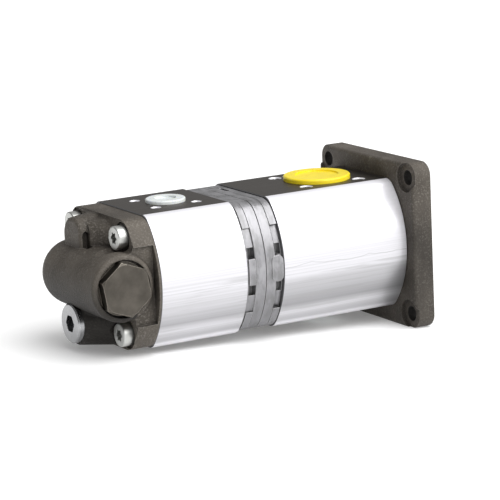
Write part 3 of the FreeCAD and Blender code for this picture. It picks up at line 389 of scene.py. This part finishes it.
@dataclass(frozen=True)
class CastSkin:
    """Sand-cast iron with a pebbly skin and a thin dark phosphate coat, darkened by painted shade."""

    name: str
    dark: Colour = (0.044, 0.037, 0.0295)
    light: Colour = (0.122, 0.106, 0.088)
    bare: Colour = (0.24, 0.222, 0.196)
    roughness: float = 0.44
    roughness_spread: float = 0.25
    sheen: float = 0.28
    cloud: Pattern = Pattern(30.0, 4.0, 0.6)
    cloud_step: Step = Step(0.5, 0.6)
    pebble: Pattern = Pattern(900.0)
    grain: Pattern = Pattern(2600.0, 2.0, 0.6)
    grain_share: float = 0.35
    relief: float = 0.00046
    relief_strength: float = 1.0
    rim: float = 0.0008
    tip_step: Step = Step(0.58, 0.14)
    tip_share: float = 0.42
    patch: Pattern = Pattern(110.0)
    patch_step: Step = Step(0.5, 0.5)
    patch_least: float = 0.3
    edge_gain: float = 5.0
    edge_share: float = 0.8
    chip: Pattern = Pattern(500.0)
    chip_step: Step = Step(0.40, 0.3)
    # Painted shade: the crevices, low bosses, cover top, lower flange and bolt holes are darkened in the colour.
    crevice_reach: float = 0.006
    crevice_shade: float = 0.22
    boss_x: Step = Step(-206.0, 2.0)
    boss_low_z: Step = Step(4.0, 44.0)
    boss_low_shade: float = 0.20
    cover_x: Step = Step(-190.0, 0.4)
    cover_top_z: Step = Step(39.6, 0.6)
    cover_top_shade: float = 0.80
    flange_x: Step = Step(-15.0, 0.4)
    flange_low_z: Step = Step(22.0, 40.0)
    flange_low_shade: float = 0.58
    bolt_y: float = 18.0
    bolt_half_y: float = 47.5
    bolt_half_z: float = 44.0
    bolt_radius: Step = Step(4.9, 0.4)
    bolt_hole_shade: float = 0.20

    def build(self) -> bpy.types.Material:
        """Build the material.

        Returns:
            The finished material.
        """
        shader = Shader(self.name)
        pebble = shader.noise(self.pebble)
        height = pebble + shader.noise(self.grain) * self.grain_share
        shader.set(Base_Color=shader.mix(1.0, self.coat(shader, pebble), self.shade(shader), "MULTIPLY"),
                   Metallic=0.0,
                   Roughness=self.roughness + pebble * self.roughness_spread,
                   Normal=shader.bump(height, self.relief, self.relief_strength, shader.rounded(self.rim)),
                   Specular_IOR_Level=self.sheen)
        return shader.material

    def coat(self, shader: Shader, pebble: Wire) -> Wire:
        """Colour the coat, rubbed through on pebbles and edges.

        Args:
            shader: The material's shader.
            pebble: The noise of the pebbly skin.

        Returns:
            The coat's colour.
        """
        coat = shader.mix(shader.noise(self.cloud).above(self.cloud_step), self.dark, self.light)
        patch = shader.noise(self.patch).above(self.patch_step)
        tips = pebble.above(self.tip_step).times(patch * (1 - self.patch_least) + self.patch_least)
        rubbed = shader.mix(tips * self.tip_share, coat, self.bare)
        chips = shader.noise(self.chip).above(self.chip_step)
        worn = shader.edges(self.rim, self.edge_gain).times(chips)
        return shader.mix(worn * self.edge_share, rubbed, self.bare)

    def shade(self, shader: Shader) -> Wire:
        """Find the painted shade on the low bosses, the cover's top, the lower flange, the bolt holes and
        crevices.

        Args:
            shader: The material's shader.

        Returns:
            A grey that the coat is multiplied by.
        """
        along, height = shader.axis("x"), shader.axis("z")
        boss_low = along.below(self.boss_x).times(height.below(self.boss_low_z))
        cover_top = along.below(self.cover_x).times(height.above(self.cover_top_z))
        flange_low = along.above(self.flange_x).times(height.below(self.flange_low_z))
        shade = boss_low.dimmed(self.boss_low_shade) * cover_top.dimmed(self.cover_top_shade)
        shade = shade * flange_low.dimmed(self.flange_low_shade)
        shade = shade * self.bolt_holes(shader).dimmed(self.bolt_hole_shade)
        # Painted shade where walls stand close.
        painted_crevice_shade = self.crevice_shade + (1 - self.crevice_shade) * shader.open_air(self.crevice_reach)
        return shader.mix(shade * painted_crevice_shade, grey(0.0), grey(1.0))

    def bolt_holes(self, shader: Shader) -> Wire:
        """Find the walls of the flange's four bolt holes.

        Args:
            shader: The material's shader.

        Returns:
            A mask of the walls.
        """
        across = abs(abs(shader.axis("y") - self.bolt_y) - self.bolt_half_y)
        upright = abs(abs(shader.axis("z")) - self.bolt_half_z)
        from_bolt = (across * across + upright * upright) ** 0.5
        return from_bolt.below(self.bolt_radius).times(shader.axis("x").above(self.flange_x))


@dataclass(frozen=True)
class ExtrudedBody:
    """Bright extruded aluminium, streaked along its length, with painted reflections by height and port faces
    painted dark as a reflection.
    """

    name: str
    tint: Colour = (1.0, 0.99, 1.035)
    # Painted reflections: the sides' brightness by height stands in for the floor and room that they mirror.
    painted_light_bands: tuple[tuple[float, float], ...] = (
        (-41.5, 0.86), (-38.5, 0.70), (-36.5, 0.40), (-34.0, 0.45), (-31.5, 0.60), (-29.0, 0.54),
        (-26.0, 0.36), (-23.0, 0.40), (-18.0, 0.50), (-13.0, 0.60), (-6.0, 0.67), (4.0, 0.72),
        (14.0, 0.82), (41.5, 0.86))
    wave: Pattern = Pattern((9.0, 40.0, 40.0), 3.0)
    wave_span: float = 3.0
    metallic: float = 0.35
    roughness: float = 0.24
    roughness_spread: float = 0.12
    fine: Pattern = Pattern((5.0, 2400.0, 2400.0))
    fine_share: float = 0.5
    relief: float = 0.00003
    relief_strength: float = 0.6
    rim: float = 0.0003
    front_x: Step = Step(-104.0, 0.2)
    front_band_z: Band = Band(-29.0, -9.0, 7.0)
    front_band_shade_mark: Mark = Mark(0.28, 0.12)
    scratch_z: float = -1.0
    scratch_half: Step = Step(0.22, 0.3)
    scratch_wander: Pattern = Pattern((28.0, 0.0, 0.0), 3.0)
    scratch_span: float = 9.0
    scratch_mark: Mark = Mark(0.4, 0.25)
    lower_z: Step = Step(4.0, 24.0)
    streaks: Streak = Streak(Pattern((1.5, 380.0, 380.0), 4.0, 0.7), Step(0.52, 0.4), 0.04, 0.16, 0.36)
    brushed: Streak = Streak(Pattern((2.5, 1100.0, 1100.0), 3.0, 0.7), Step(0.55, 0.25), 0.05, 0.22, 0.25)
    smear: Streak = Streak(Pattern((14.0, 260.0, 260.0), 3.0, 0.6), Step(0.62, 0.12), 0.0, 0.35, 0.30)
    flange_shadow_x: Step = Step(-24.0, 18.0)
    flange_shadow_z: Step = Step(-10.0, 14.0)
    flange_shadow_mark: Mark = Mark(0.6, 0.10)
    # Painted reflection: the milled port faces are coloured dark for the dark room that they mirror.
    port_face_z: Step = Step(41.44, 0.02)
    port_face_reflection: Colour = (0.088, 0.078, 0.069)
    port_face_lift: float = 1.3
    cutter: Pattern = Pattern((900.0, 14.0, 14.0))
    tap_half_y: Step = Step(22.0, 0.5)
    tap_z: Band = Band(27.0, 40.7, 0.5)
    tap_shade_mark: Mark = Mark(0.9, 0.05)
    ends: tuple[float, ...] = (-14.0, -104.8, -130.2, -190.5)
    seam_half: Step = Step(0.5, 0.3)
    seam_shadow_mark: Mark = Mark(0.9, 0.02)

    def build(self) -> bpy.types.Material:
        """Build the material.

        Returns:
            The finished material.
        """
        shader = Shader(self.name)
        streaks = shader.noise(self.streaks.pattern)
        milled = abs(shader.axis("z")).above(self.port_face_z)
        # Painted reflection: the port faces' dark colour.
        lifted = tuple(part * self.port_face_lift for part in self.port_face_reflection)
        face = shader.mix(shader.noise(self.cutter), self.port_face_reflection, lifted)
        skin = shader.mix(milled, self.side(shader, streaks), face)
        # Painted shade inside the tapped holes.
        tapped = shader.laid(self.taps(shader), skin, self.tap_shade_mark)
        height = shader.noise(self.fine) * self.fine_share + streaks
        spread = self.roughness_spread
        # Painted shadow: dark lines in the joints at the bodies' ends.
        shader.set(Base_Color=shader.laid(self.seams(shader), tapped, self.seam_shadow_mark),
                   Metallic=self.metallic + (1 - self.metallic) * milled,
                   Roughness=self.roughness + streaks * spread + milled * spread,
                   Normal=shader.bump(height, self.relief, self.relief_strength, shader.rounded(self.rim)))
        return shader.material

    def side(self, shader: Shader, streaks: Wire) -> Wire:
        """Colour the sides: painted reflection bands, painted shade low on the front body, a scratch, streaks and
        the flange's painted shadow.

        Args:
            shader: The material's shader.
            streaks: The noise of the broad streaks.

        Returns:
            The sides' colour.
        """
        along, height = shader.axis("x"), shader.axis("z")
        wave = shader.noise(self.wave).swing(self.wave_span)
        tone = shader.painted_light_bands(height + wave, self.painted_light_bands, self.tint)
        front = along.above(self.front_x)
        # Painted shade: a darker band low on the front body's side.
        tone = shader.laid(front.times(height.between(self.front_band_z)), tone, self.front_band_shade_mark)
        wander = shader.noise(self.scratch_wander).swing(self.scratch_span)
        scratch = abs(height - self.scratch_z - wander).below(self.scratch_half)
        tone = shader.laid(scratch.times(front), tone, self.scratch_mark)
        lower = height.below(self.lower_z)
        layers = ((streaks, self.streaks),
                  (shader.noise(self.brushed.pattern), self.brushed),
                  (shader.noise(self.smear.pattern), self.smear))
        for noise, streak in layers:
            share = noise.above(streak.step) * (streak.upper + lower * streak.lower)
            tone = shader.mix(share, tone, grey(streak.tone))
        shadow = along.above(self.flange_shadow_x).times(height.below(self.flange_shadow_z))
        return shader.laid(shadow, tone, self.flange_shadow_mark)

    def taps(self, shader: Shader) -> Wire:
        """Find the walls of the ports' tapped holes, where painted shade darkens them and their threads.

        Args:
            shader: The material's shader.

        Returns:
            A mask of the walls.
        """
        sideways = abs(shader.axis("y") - GEARS_MIDDLE_Y)
        upright = abs(shader.axis("z"))
        return sideways.below(self.tap_half_y).times(upright.between(self.tap_z))

    def seams(self, shader: Shader) -> Wire:
        """Find the joints at the bodies' ends, where a painted shadow darkens them.

        Args:
            shader: The material's shader.

        Returns:
            A mask of the seams.
        """
        along = shader.axis("x")
        seams = abs(along - self.ends[0]).below(self.seam_half)
        for end in self.ends[1:]:
            seams = seams.at_least(abs(along - end).below(self.seam_half))
        return seams


@dataclass(frozen=True)
class DieCastPlate:
    """Dull die-cast aluminium with flow marks, with painted shade in its windows and crevices and painted light
    and shade by height.
    """

    name: str
    tint: Colour = (1.0, 0.99, 1.03)
    # Painted light and shade: the plates are lighter on top and darker lower down.
    painted_light_bands: tuple[tuple[float, float], ...] = (
        (-41.0, 0.26), (-26.0, 0.24), (-12.0, 0.31), (2.0, 0.40), (18.0, 0.28), (36.0, 0.31),
        (40.6, 0.50), (41.2, 0.95))
    roughness: float = 0.30
    roughness_spread: float = 0.16
    flow: Pattern = Pattern((160.0, 70.0, 70.0), 5.0, 0.65)
    flow_step: Step = Step(0.52, 0.24)
    flow_mark: Mark = Mark(0.6, 0.17)
    grain: Pattern = Pattern((900.0, 260.0, 260.0), 3.0, 0.6)
    grain_share: float = 0.5
    relief: float = 0.00020
    relief_strength: float = 1.0
    rim: float = 0.0004
    window_z: Band = Band(8.2, 15.0, 0.4)
    window_floor_y: Step = Step(44.5, 0.6)
    window_back_y: Step = Step(41.5, 1.0)
    window_shade_mark: Mark = Mark(0.92, 0.24)
    edge_reach: float = 0.0005
    edge_gain: float = 5.0
    edge_mark: Mark = Mark(0.5, 0.80)
    crevice_reach: float = 0.003
    crevice_shade_mark: Mark = Mark(0.6, 0.05)

    def build(self) -> bpy.types.Material:
        """Build the material.

        Returns:
            The finished material.
        """
        shader = Shader(self.name)
        flow, grain = shader.noise(self.flow), shader.noise(self.grain)
        # Painted light and shade by height.
        tone = shader.painted_light_bands(shader.axis("z"), self.painted_light_bands, self.tint)
        tone = shader.laid(flow.above(self.flow_step), tone, self.flow_mark)
        # Painted shade in the windows and the crevices.
        tone = shader.laid(self.windows(shader), tone, self.window_shade_mark)
        tone = shader.laid(shader.edges(self.edge_reach, self.edge_gain), tone, self.edge_mark)
        tone = shader.laid(1 - shader.open_air(self.crevice_reach), tone, self.crevice_shade_mark)
        height = flow + grain * self.grain_share
        shader.set(Base_Color=tone,
                   Metallic=1.0,
                   Roughness=self.roughness + grain * self.roughness_spread,
                   Normal=shader.bump(height, self.relief, self.relief_strength, shader.rounded(self.rim)))
        return shader.material

    def windows(self, shader: Shader) -> Wire:
        """Find the floors of the windows in the plates' flanks.

        Args:
            shader: The material's shader.

        Returns:
            A mask of the floors.
        """
        sideways = abs(shader.axis("y") - GEARS_MIDDLE_Y)
        windows = abs(shader.axis("z")).between(self.window_z).times(sideways.below(self.window_floor_y))
        return windows.times(sideways.above(self.window_back_y))


@dataclass(frozen=True)
class Metal:
    """Plain metal with a fine grain, clouding, brighter worn edges and painted shade in its pockets."""

    name: str
    colour: Colour
    roughness: float = 0.32
    cloud_share: float = 0.18
    grain: Pattern = Pattern(900.0, 3.0, 0.6)
    relief: float = 0.00002
    edge_lift: float = 1.35
    edge_reach: float = 0.0004
    edge_gain: float = 6.0
    cloud: Pattern = Pattern(70.0, 4.0, 0.6)
    cloud_step: Step = Step(0.5, 0.5)
    roughness_drop: float = 0.06
    roughness_spread: float = 0.14
    relief_strength: float = 0.8
    rim: float = 0.00025
    pocket_reach: float = 0.003
    pocket_shade_mark: Mark = Mark(0.7, 0.02)

    def build(self) -> bpy.types.Material:
        """Build the material.

        Returns:
            The finished material.
        """
        shader = Shader(self.name)
        grain = shader.noise(self.grain)
        clouded = shader.noise(self.cloud).above(self.cloud_step)
        tone = shader.mix(clouded, self.lifted(1 - self.cloud_share), self.lifted(1 + self.cloud_share))
        worn = shader.edges(self.edge_reach, self.edge_gain)
        tone = shader.mix(worn, tone, self.lifted(self.edge_lift))
        # Painted shade in sockets and pockets.
        tone = shader.laid(1 - shader.open_air(self.pocket_reach), tone, self.pocket_shade_mark)
        shader.set(Base_Color=tone,
                   Metallic=1.0,
                   Roughness=self.roughness - self.roughness_drop + grain * self.roughness_spread,
                   Normal=shader.bump(grain, self.relief, self.relief_strength, shader.rounded(self.rim)))
        return shader.material

    def lifted(self, factor: float) -> Colour:
        """Return the metal's colour, brighter or darker by a factor."""
        return tuple(min(part * factor, 1.0) for part in self.colour)


@dataclass(frozen=True)
class Moulded:
    """Soft injection-moulded plastic, solid or milky."""

    name: str
    colour: Colour
    roughness: float = 0.34
    depth: float = 0.0
    clear: float = 0.0
    depth_radius: Colour = (0.004, 0.004, 0.003)
    refraction: float = 1.5
    cloud: Pattern = Pattern(160.0, 3.0)
    cloud_step: Step = Step(0.5, 0.6)
    cloud_tone: float = 0.93
    roughness_drop: float = 0.05
    roughness_spread: float = 0.1
    grain: Pattern = Pattern(700.0)
    relief: float = 0.00002
    relief_strength: float = 0.6
    rim: float = 0.0003

    def build(self) -> bpy.types.Material:
        """Build the material.

        Returns:
            The finished material.
        """
        shader = Shader(self.name)
        cloud, grain = shader.noise(self.cloud), shader.noise(self.grain)
        low = tuple(part * self.cloud_tone for part in self.colour)
        shader.set(Base_Color=shader.mix(cloud.above(self.cloud_step), low, self.colour),
                   Roughness=self.roughness - self.roughness_drop + cloud * self.roughness_spread,
                   Subsurface_Weight=self.depth,
                   Subsurface_Radius=self.depth_radius,
                   Transmission_Weight=self.clear,
                   IOR=self.refraction,
                   Normal=shader.bump(grain, self.relief, self.relief_strength, shader.rounded(self.rim)))
        return shader.material


class Slot(Enum):
    """The record's material slots, each with its finish."""

    cast_dark = CastSkin("cast_dark")
    body_aluminium = ExtrudedBody("body_aluminium")
    plate_diecast = DieCastPlate("plate_diecast")
    block_aluminium = Metal("block_aluminium", (0.70, 0.70, 0.71), 0.36)
    gear_steel = Metal("gear_steel", (0.52, 0.52, 0.53), 0.25)
    spring_steel = Metal("spring_steel", (0.26, 0.26, 0.27), 0.35)
    bush_bronze = Metal("bush_bronze", (0.62, 0.44, 0.22), 0.36)
    seal_rubber = Moulded("seal_rubber", (0.02, 0.02, 0.021), 0.6)
    screw_steel = Metal("screw_steel", (0.57, 0.575, 0.555), 0.36, 0.16, edge_lift=1.5)
    plug_dark = Metal("plug_dark", (0.094, 0.085, 0.073), 0.38, 0.26, Pattern(420.0, 3.0, 0.6),
                      relief=0.00008, edge_lift=3.0, edge_reach=0.0008)
    plug_zinc = Metal("plug_zinc", (0.36, 0.363, 0.37), 0.24, 0.10, edge_lift=2.2)
    cap_yellow = Moulded("cap_yellow", (1.0, 0.77, 0.02), 0.32, depth=0.6)
    cap_white = Moulded("cap_white", (0.82, 0.86, 0.85), 0.28, depth=0.3, clear=0.08)


@dataclass(frozen=True)
class TappedPort:
    """The four tapped holes round one flanged port, with sizes in metres.

    The port's middle comes from its cap, and its face from the body that it is in. Its side is 1 on top of
    the pump and -1 underneath.
    """

    cap: str
    body: str
    side: int
    pcd: float
    radius: float
    pitch: float
    depth: float

    @property
    def middle(self) -> Vector:
        """The port's middle on the body's face.

        Returns:
            The point, in the model's frame.
        """
        low, high = (Vector(corner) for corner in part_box(self.cap))
        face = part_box(self.body)[1 if self.side > 0 else 0][2]
        return Vector(((low.x + high.x) / 2, (low.y + high.y) / 2, face))

    @property
    def spacing(self) -> float:
        """The distance between two neighbouring holes."""
        return self.pcd * math.sqrt(0.5)

    @property
    def turns(self) -> float:
        """The number of turns of each thread."""
        return self.depth / self.pitch


@dataclass(frozen=True)
class TapThreads:
    """Screw threads standing on the walls of the ports' tapped holes, with sizes in metres."""

    INPUTS: ClassVar[tuple[str, ...]] = ("Spacing", "Hole Radius", "Ridge", "Turns", "Length")
    ports: tuple[TappedPort, ...] = (
        TappedPort("port_cap_front_top", "front_body", 1, 55 * MM, 3.4 * MM, 1.25 * MM, 11 * MM),
        TappedPort("port_cap_front_bottom", "front_body", -1, 40 * MM, 2.5 * MM, 1.0 * MM, 9 * MM),
        TappedPort("port_cap_rear_top", "rear_body", 1, 40 * MM, 2.5 * MM, 1.0 * MM, 9 * MM),
        TappedPort("port_cap_rear_bottom", "rear_body", -1, 35 * MM, 2.5 * MM, 1.0 * MM, 9 * MM))
    ridge: float = 0.3 * MM
    chamfer: float = 0.9 * MM
    turn_points: int = 22
    ridge_points: int = 4
    holes_a_side: int = 2

    def tree(self, material: bpy.types.Material) -> bpy.types.NodeTree:
        """Make the tree that winds one thread and stands it at the corners of a square.

        Args:
            material: The threads' finish.

        Returns:
            The tree, with INPUTS as its inputs.
        """
        tree = bpy.data.node_groups.new("tap_threads", "GeometryNodeTree")
        for name in self.INPUTS:
            tree.interface.new_socket(name, in_out="INPUT", socket_type="NodeSocketFloat")
        tree.interface.new_socket("Geometry", in_out="OUTPUT", socket_type="NodeSocketGeometry")
        nodes = Nodes(tree)
        spacing, radius, ridge, turns, length = (
            nodes.node("NodeGroupInput", output=name) for name in self.INPUTS)
        holes = nodes.node("GeometryNodeMeshGrid", inputs={
            "Size X": spacing, "Size Y": spacing, "Vertices X": self.holes_a_side,
            "Vertices Y": self.holes_a_side}, output="Mesh")
        helix = nodes.node("GeometryNodeCurveSpiral", inputs={
            "Resolution": self.turn_points, "Rotations": turns, "Start Radius": radius,
            "End Radius": radius, "Height": length}, output="Curve")
        profile = nodes.node("GeometryNodeCurvePrimitiveCircle", inputs={
            "Resolution": self.ridge_points, "Radius": ridge}, output="Curve")
        thread = nodes.node("GeometryNodeCurveToMesh", inputs={
            "Curve": helix, "Profile Curve": profile, "Fill Caps": True}, output="Mesh")
        placed = nodes.node("GeometryNodeInstanceOnPoints", inputs={
            "Points": holes, "Instance": thread}, output="Instances")
        real = nodes.node("GeometryNodeRealizeInstances", inputs={"Geometry": placed}, output="Geometry")
        painted = nodes.node("GeometryNodeSetMaterial", inputs={
            "Geometry": real, "Material": material}, output="Geometry")
        tree.links.new(painted.socket, tree.nodes.new("NodeGroupOutput").inputs["Geometry"])
        return tree

    def foot(self, port: TappedPort) -> Vector:
        """Find where the threads of a port begin.

        Args:
            port: The port.

        Returns:
            The middle of the threads' lower ends.
        """
        foot = port.middle - Vector((0.0, 0.0, port.side * self.chamfer))
        foot.z -= port.depth if port.side > 0 else 0.0
        return foot

    def wind(self, port: TappedPort, tree: bpy.types.NodeTree) -> bpy.types.Object:
        """Wind the threads of a port's four holes.

        Args:
            port: The port.
            tree: The tree that winds them.

        Returns:
            The finished piece, at the origin.
        """
        piece = bpy.data.objects.new(port.cap.replace("cap", "threads"), bpy.data.meshes.new("threads"))
        bpy.context.scene.collection.objects.link(piece)
        modifier = piece.modifiers.new("threads", "NODES")
        modifier.node_group = tree
        sockets = {item.name: item.identifier for item in tree.interface.items_tree}
        sizes = (port.spacing, port.radius, self.ridge, port.turns, port.depth)
        for name, size in zip(self.INPUTS, sizes):
            modifier[sockets[name]] = size
        graph = bpy.context.evaluated_depsgraph_get()
        mesh = bpy.data.meshes.new_from_object(piece.evaluated_get(graph), depsgraph=graph)
        piece.modifiers.clear()
        mesh.transform(Matrix.Translation(self.foot(port)))
        piece.data = mesh
        return piece

    def build(self, material: bpy.types.Material) -> None:
        """Put the threads of every port in place.

        Args:
            material: The bodies' finish.
        """
        tree = self.tree(material)
        for port in self.ports:
            piece = self.wind(port, tree)
            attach(piece, "housing")
            LOG.info("threaded %s, %d faces", piece.name, len(piece.data.polygons))


def compress_spring() -> None:
    """Give the relief spring its own mesh; its shortened length for the spool's travel is worked out but not
    applied.
    """
    low, high = (Vector(corner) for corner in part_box("valve_spring"))
    travel = next(joint["range_m"][1] for joint in frame["joints"] if joint["name"] == "spool_slide")
    length = high.y - low.y
    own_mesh(frame["nodes"]["valve_spring"], "spool_slide", (0.0, 1.0, 0.0), tuple(low),
              keep=(length - travel) / length)


def dress_model(materials: dict[str, bpy.types.Material]) -> None:
    """Give every carried-over node its slot's finish.

    Args:
        materials: The finishes, by the names of their slots.
    """
    for row in frame["record"]["subparts"]:
        node = frame["nodes"][row["node"]]
        for holder in node.material_slots:
            holder.material = materials[row["material_slot"]]
        LOG.info("dressed %s in %s", row["node"], row["material_slot"])


@dataclass
class Studio:
    """Pale floor, soft light and the camera at the photograph's angle, in metres and degrees."""

    floor_front: Vector = field(default_factory=lambda: Vector((-11.5, 0.0, -53.0)) * MM)
    floor_rear: Vector = field(default_factory=lambda: Vector((-168.8, 0.0, -46.3)) * MM)
    floor_half: float = 6.0
    floor_tone: float = 0.90
    floor_roughness: float = 0.9
    floor_sheen: float = 0.1
    floor_glow: float = 0.18
    key_from: Colour = (0.30, -0.58, 0.75)
    key_power: float = 2.5
    key_angle: float = 70.0
    room_base: float = 0.34
    room_near: float = 0.62
    room_near_step: Step = Step(0.1, 1.2)
    room_up: float = 0.20
    room_up_step: Step = Step(0.5, 0.8)
    room_rear_loss: float = 0.68
    room_rear_step: Step = Step(0.45, 0.8)
    target: Vector = field(default_factory=lambda: Vector((-102.78, 15.5, 3.185)) * MM)
    azimuth: float = -29.45
    elevation: float = 11.95
    roll: float = -2.58
    distance: float = 1.6687
    lens: float = 190.28
    sensor: float = 36.0
    clip: tuple[float, float] = (0.05, 50.0)

    def ground(self) -> Matrix:
        """Find the floor's frame.

        Returns:
            The frame, with its origin under the flange and its Z along the floor's normal.
        """
        along = (self.floor_front - self.floor_rear).normalized()
        across = Vector((0.0, 1.0, 0.0))
        up = along.cross(across)
        turn = Matrix((along, across, up)).transposed().to_4x4()
        return Matrix.Translation(self.floor_front) @ turn

    def floor(self) -> None:
        """Lay the pale, faintly lit table that the flange and the rear end rest on."""
        mesh = bpy.data.meshes.new("floor")
        half = self.floor_half
        outline = [(-half, -half, 0), (half, -half, 0), (half, half, 0), (-half, half, 0)]
        mesh.from_pydata(outline, [], [(0, 1, 2, 3)])
        floor = bpy.data.objects.new("floor", mesh)
        bpy.context.scene.collection.objects.link(floor)
        floor.matrix_world = self.ground()
        shader = Shader("floor")
        shader.set(Base_Color=grey(self.floor_tone), Roughness=self.floor_roughness,
                   Specular_IOR_Level=self.floor_sheen,
                   Emission_Color=grey(1.0), Emission_Strength=self.floor_glow)
        mesh.materials.append(shader.material)

    def sun(self) -> None:
        """Light everything from one very wide, soft lamp above the near side."""
        data = bpy.data.lights.new("soft_key", "SUN")
        data.energy = self.key_power
        data.angle = math.radians(self.key_angle)
        lamp = bpy.data.objects.new("soft_key", data)
        bpy.context.scene.collection.objects.link(lamp)
        lamp.rotation_mode = "QUATERNION"
        lamp.rotation_quaternion = Vector(self.key_from).to_track_quat("Z", "Y")

    def room(self) -> None:
        """Surround the pump with a white room that is darker on the far side and to the rear."""
        world = bpy.data.worlds.new("studio")
        bpy.context.scene.world = world
        world.use_nodes = True
        nodes = Nodes(world.node_tree)
        direction = nodes.node("ShaderNodeTexCoord", output="Generated")
        x, y, z = (nodes.node("ShaderNodeSeparateXYZ", inputs={0: direction}, output=i) for i in range(3))
        near = (0.0 - y).above(self.room_near_step)
        up = z.above(self.room_up_step)
        rear = (0.0 - x).above(self.room_rear_step)
        strength = self.room_base + near * self.room_near + up * self.room_up
        background = world.node_tree.nodes["Background"]
        nodes.feed(background.inputs["Color"], grey(1.0))
        nodes.feed(background.inputs["Strength"], strength * (1 - rear * self.room_rear_loss))
        view = bpy.context.scene.view_settings
        view.view_transform = "Standard"
        view.look = "None"

    def camera(self) -> None:
        """Place the camera where the photograph was taken from."""
        turn, lift, roll = (math.radians(a) for a in (self.azimuth, self.elevation, self.roll))
        back = Vector((math.sin(turn) * math.cos(lift), -math.cos(turn) * math.cos(lift), math.sin(lift)))
        right = Vector((0.0, 0.0, 1.0)).cross(back).normalized()
        up = back.cross(right)
        rolled_right = right * math.cos(roll) + up * math.sin(roll)
        rolled_up = up * math.cos(roll) - right * math.sin(roll)
        data = bpy.data.cameras.new("camera")
        data.sensor_width = self.sensor
        data.lens = self.lens
        data.clip_start, data.clip_end = self.clip
        camera = bpy.data.objects.new("camera", data)
        bpy.context.scene.collection.objects.link(camera)
        axes = Matrix((rolled_right, rolled_up, back)).transposed().to_4x4()
        camera.matrix_world = Matrix.Translation(self.target + back * self.distance) @ axes
        bpy.context.scene.camera = camera

    def build(self) -> None:
        """Set up the whole studio."""
        self.floor()
        self.sun()
        self.room()
        self.camera()
        LOG.info("studio ready")


def main() -> None:
    """Dress the model, build the added pieces and set up the studio."""
    logging.basicConfig(level=logging.INFO)
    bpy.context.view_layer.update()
    materials = {slot.name: slot.value.build() for slot in Slot}
    dress_model(materials)
    compress_spring()
    TapThreads().build(materials[Slot.body_aluminium.name])
    Studio().build()


if __name__ == "__main__":
    main()
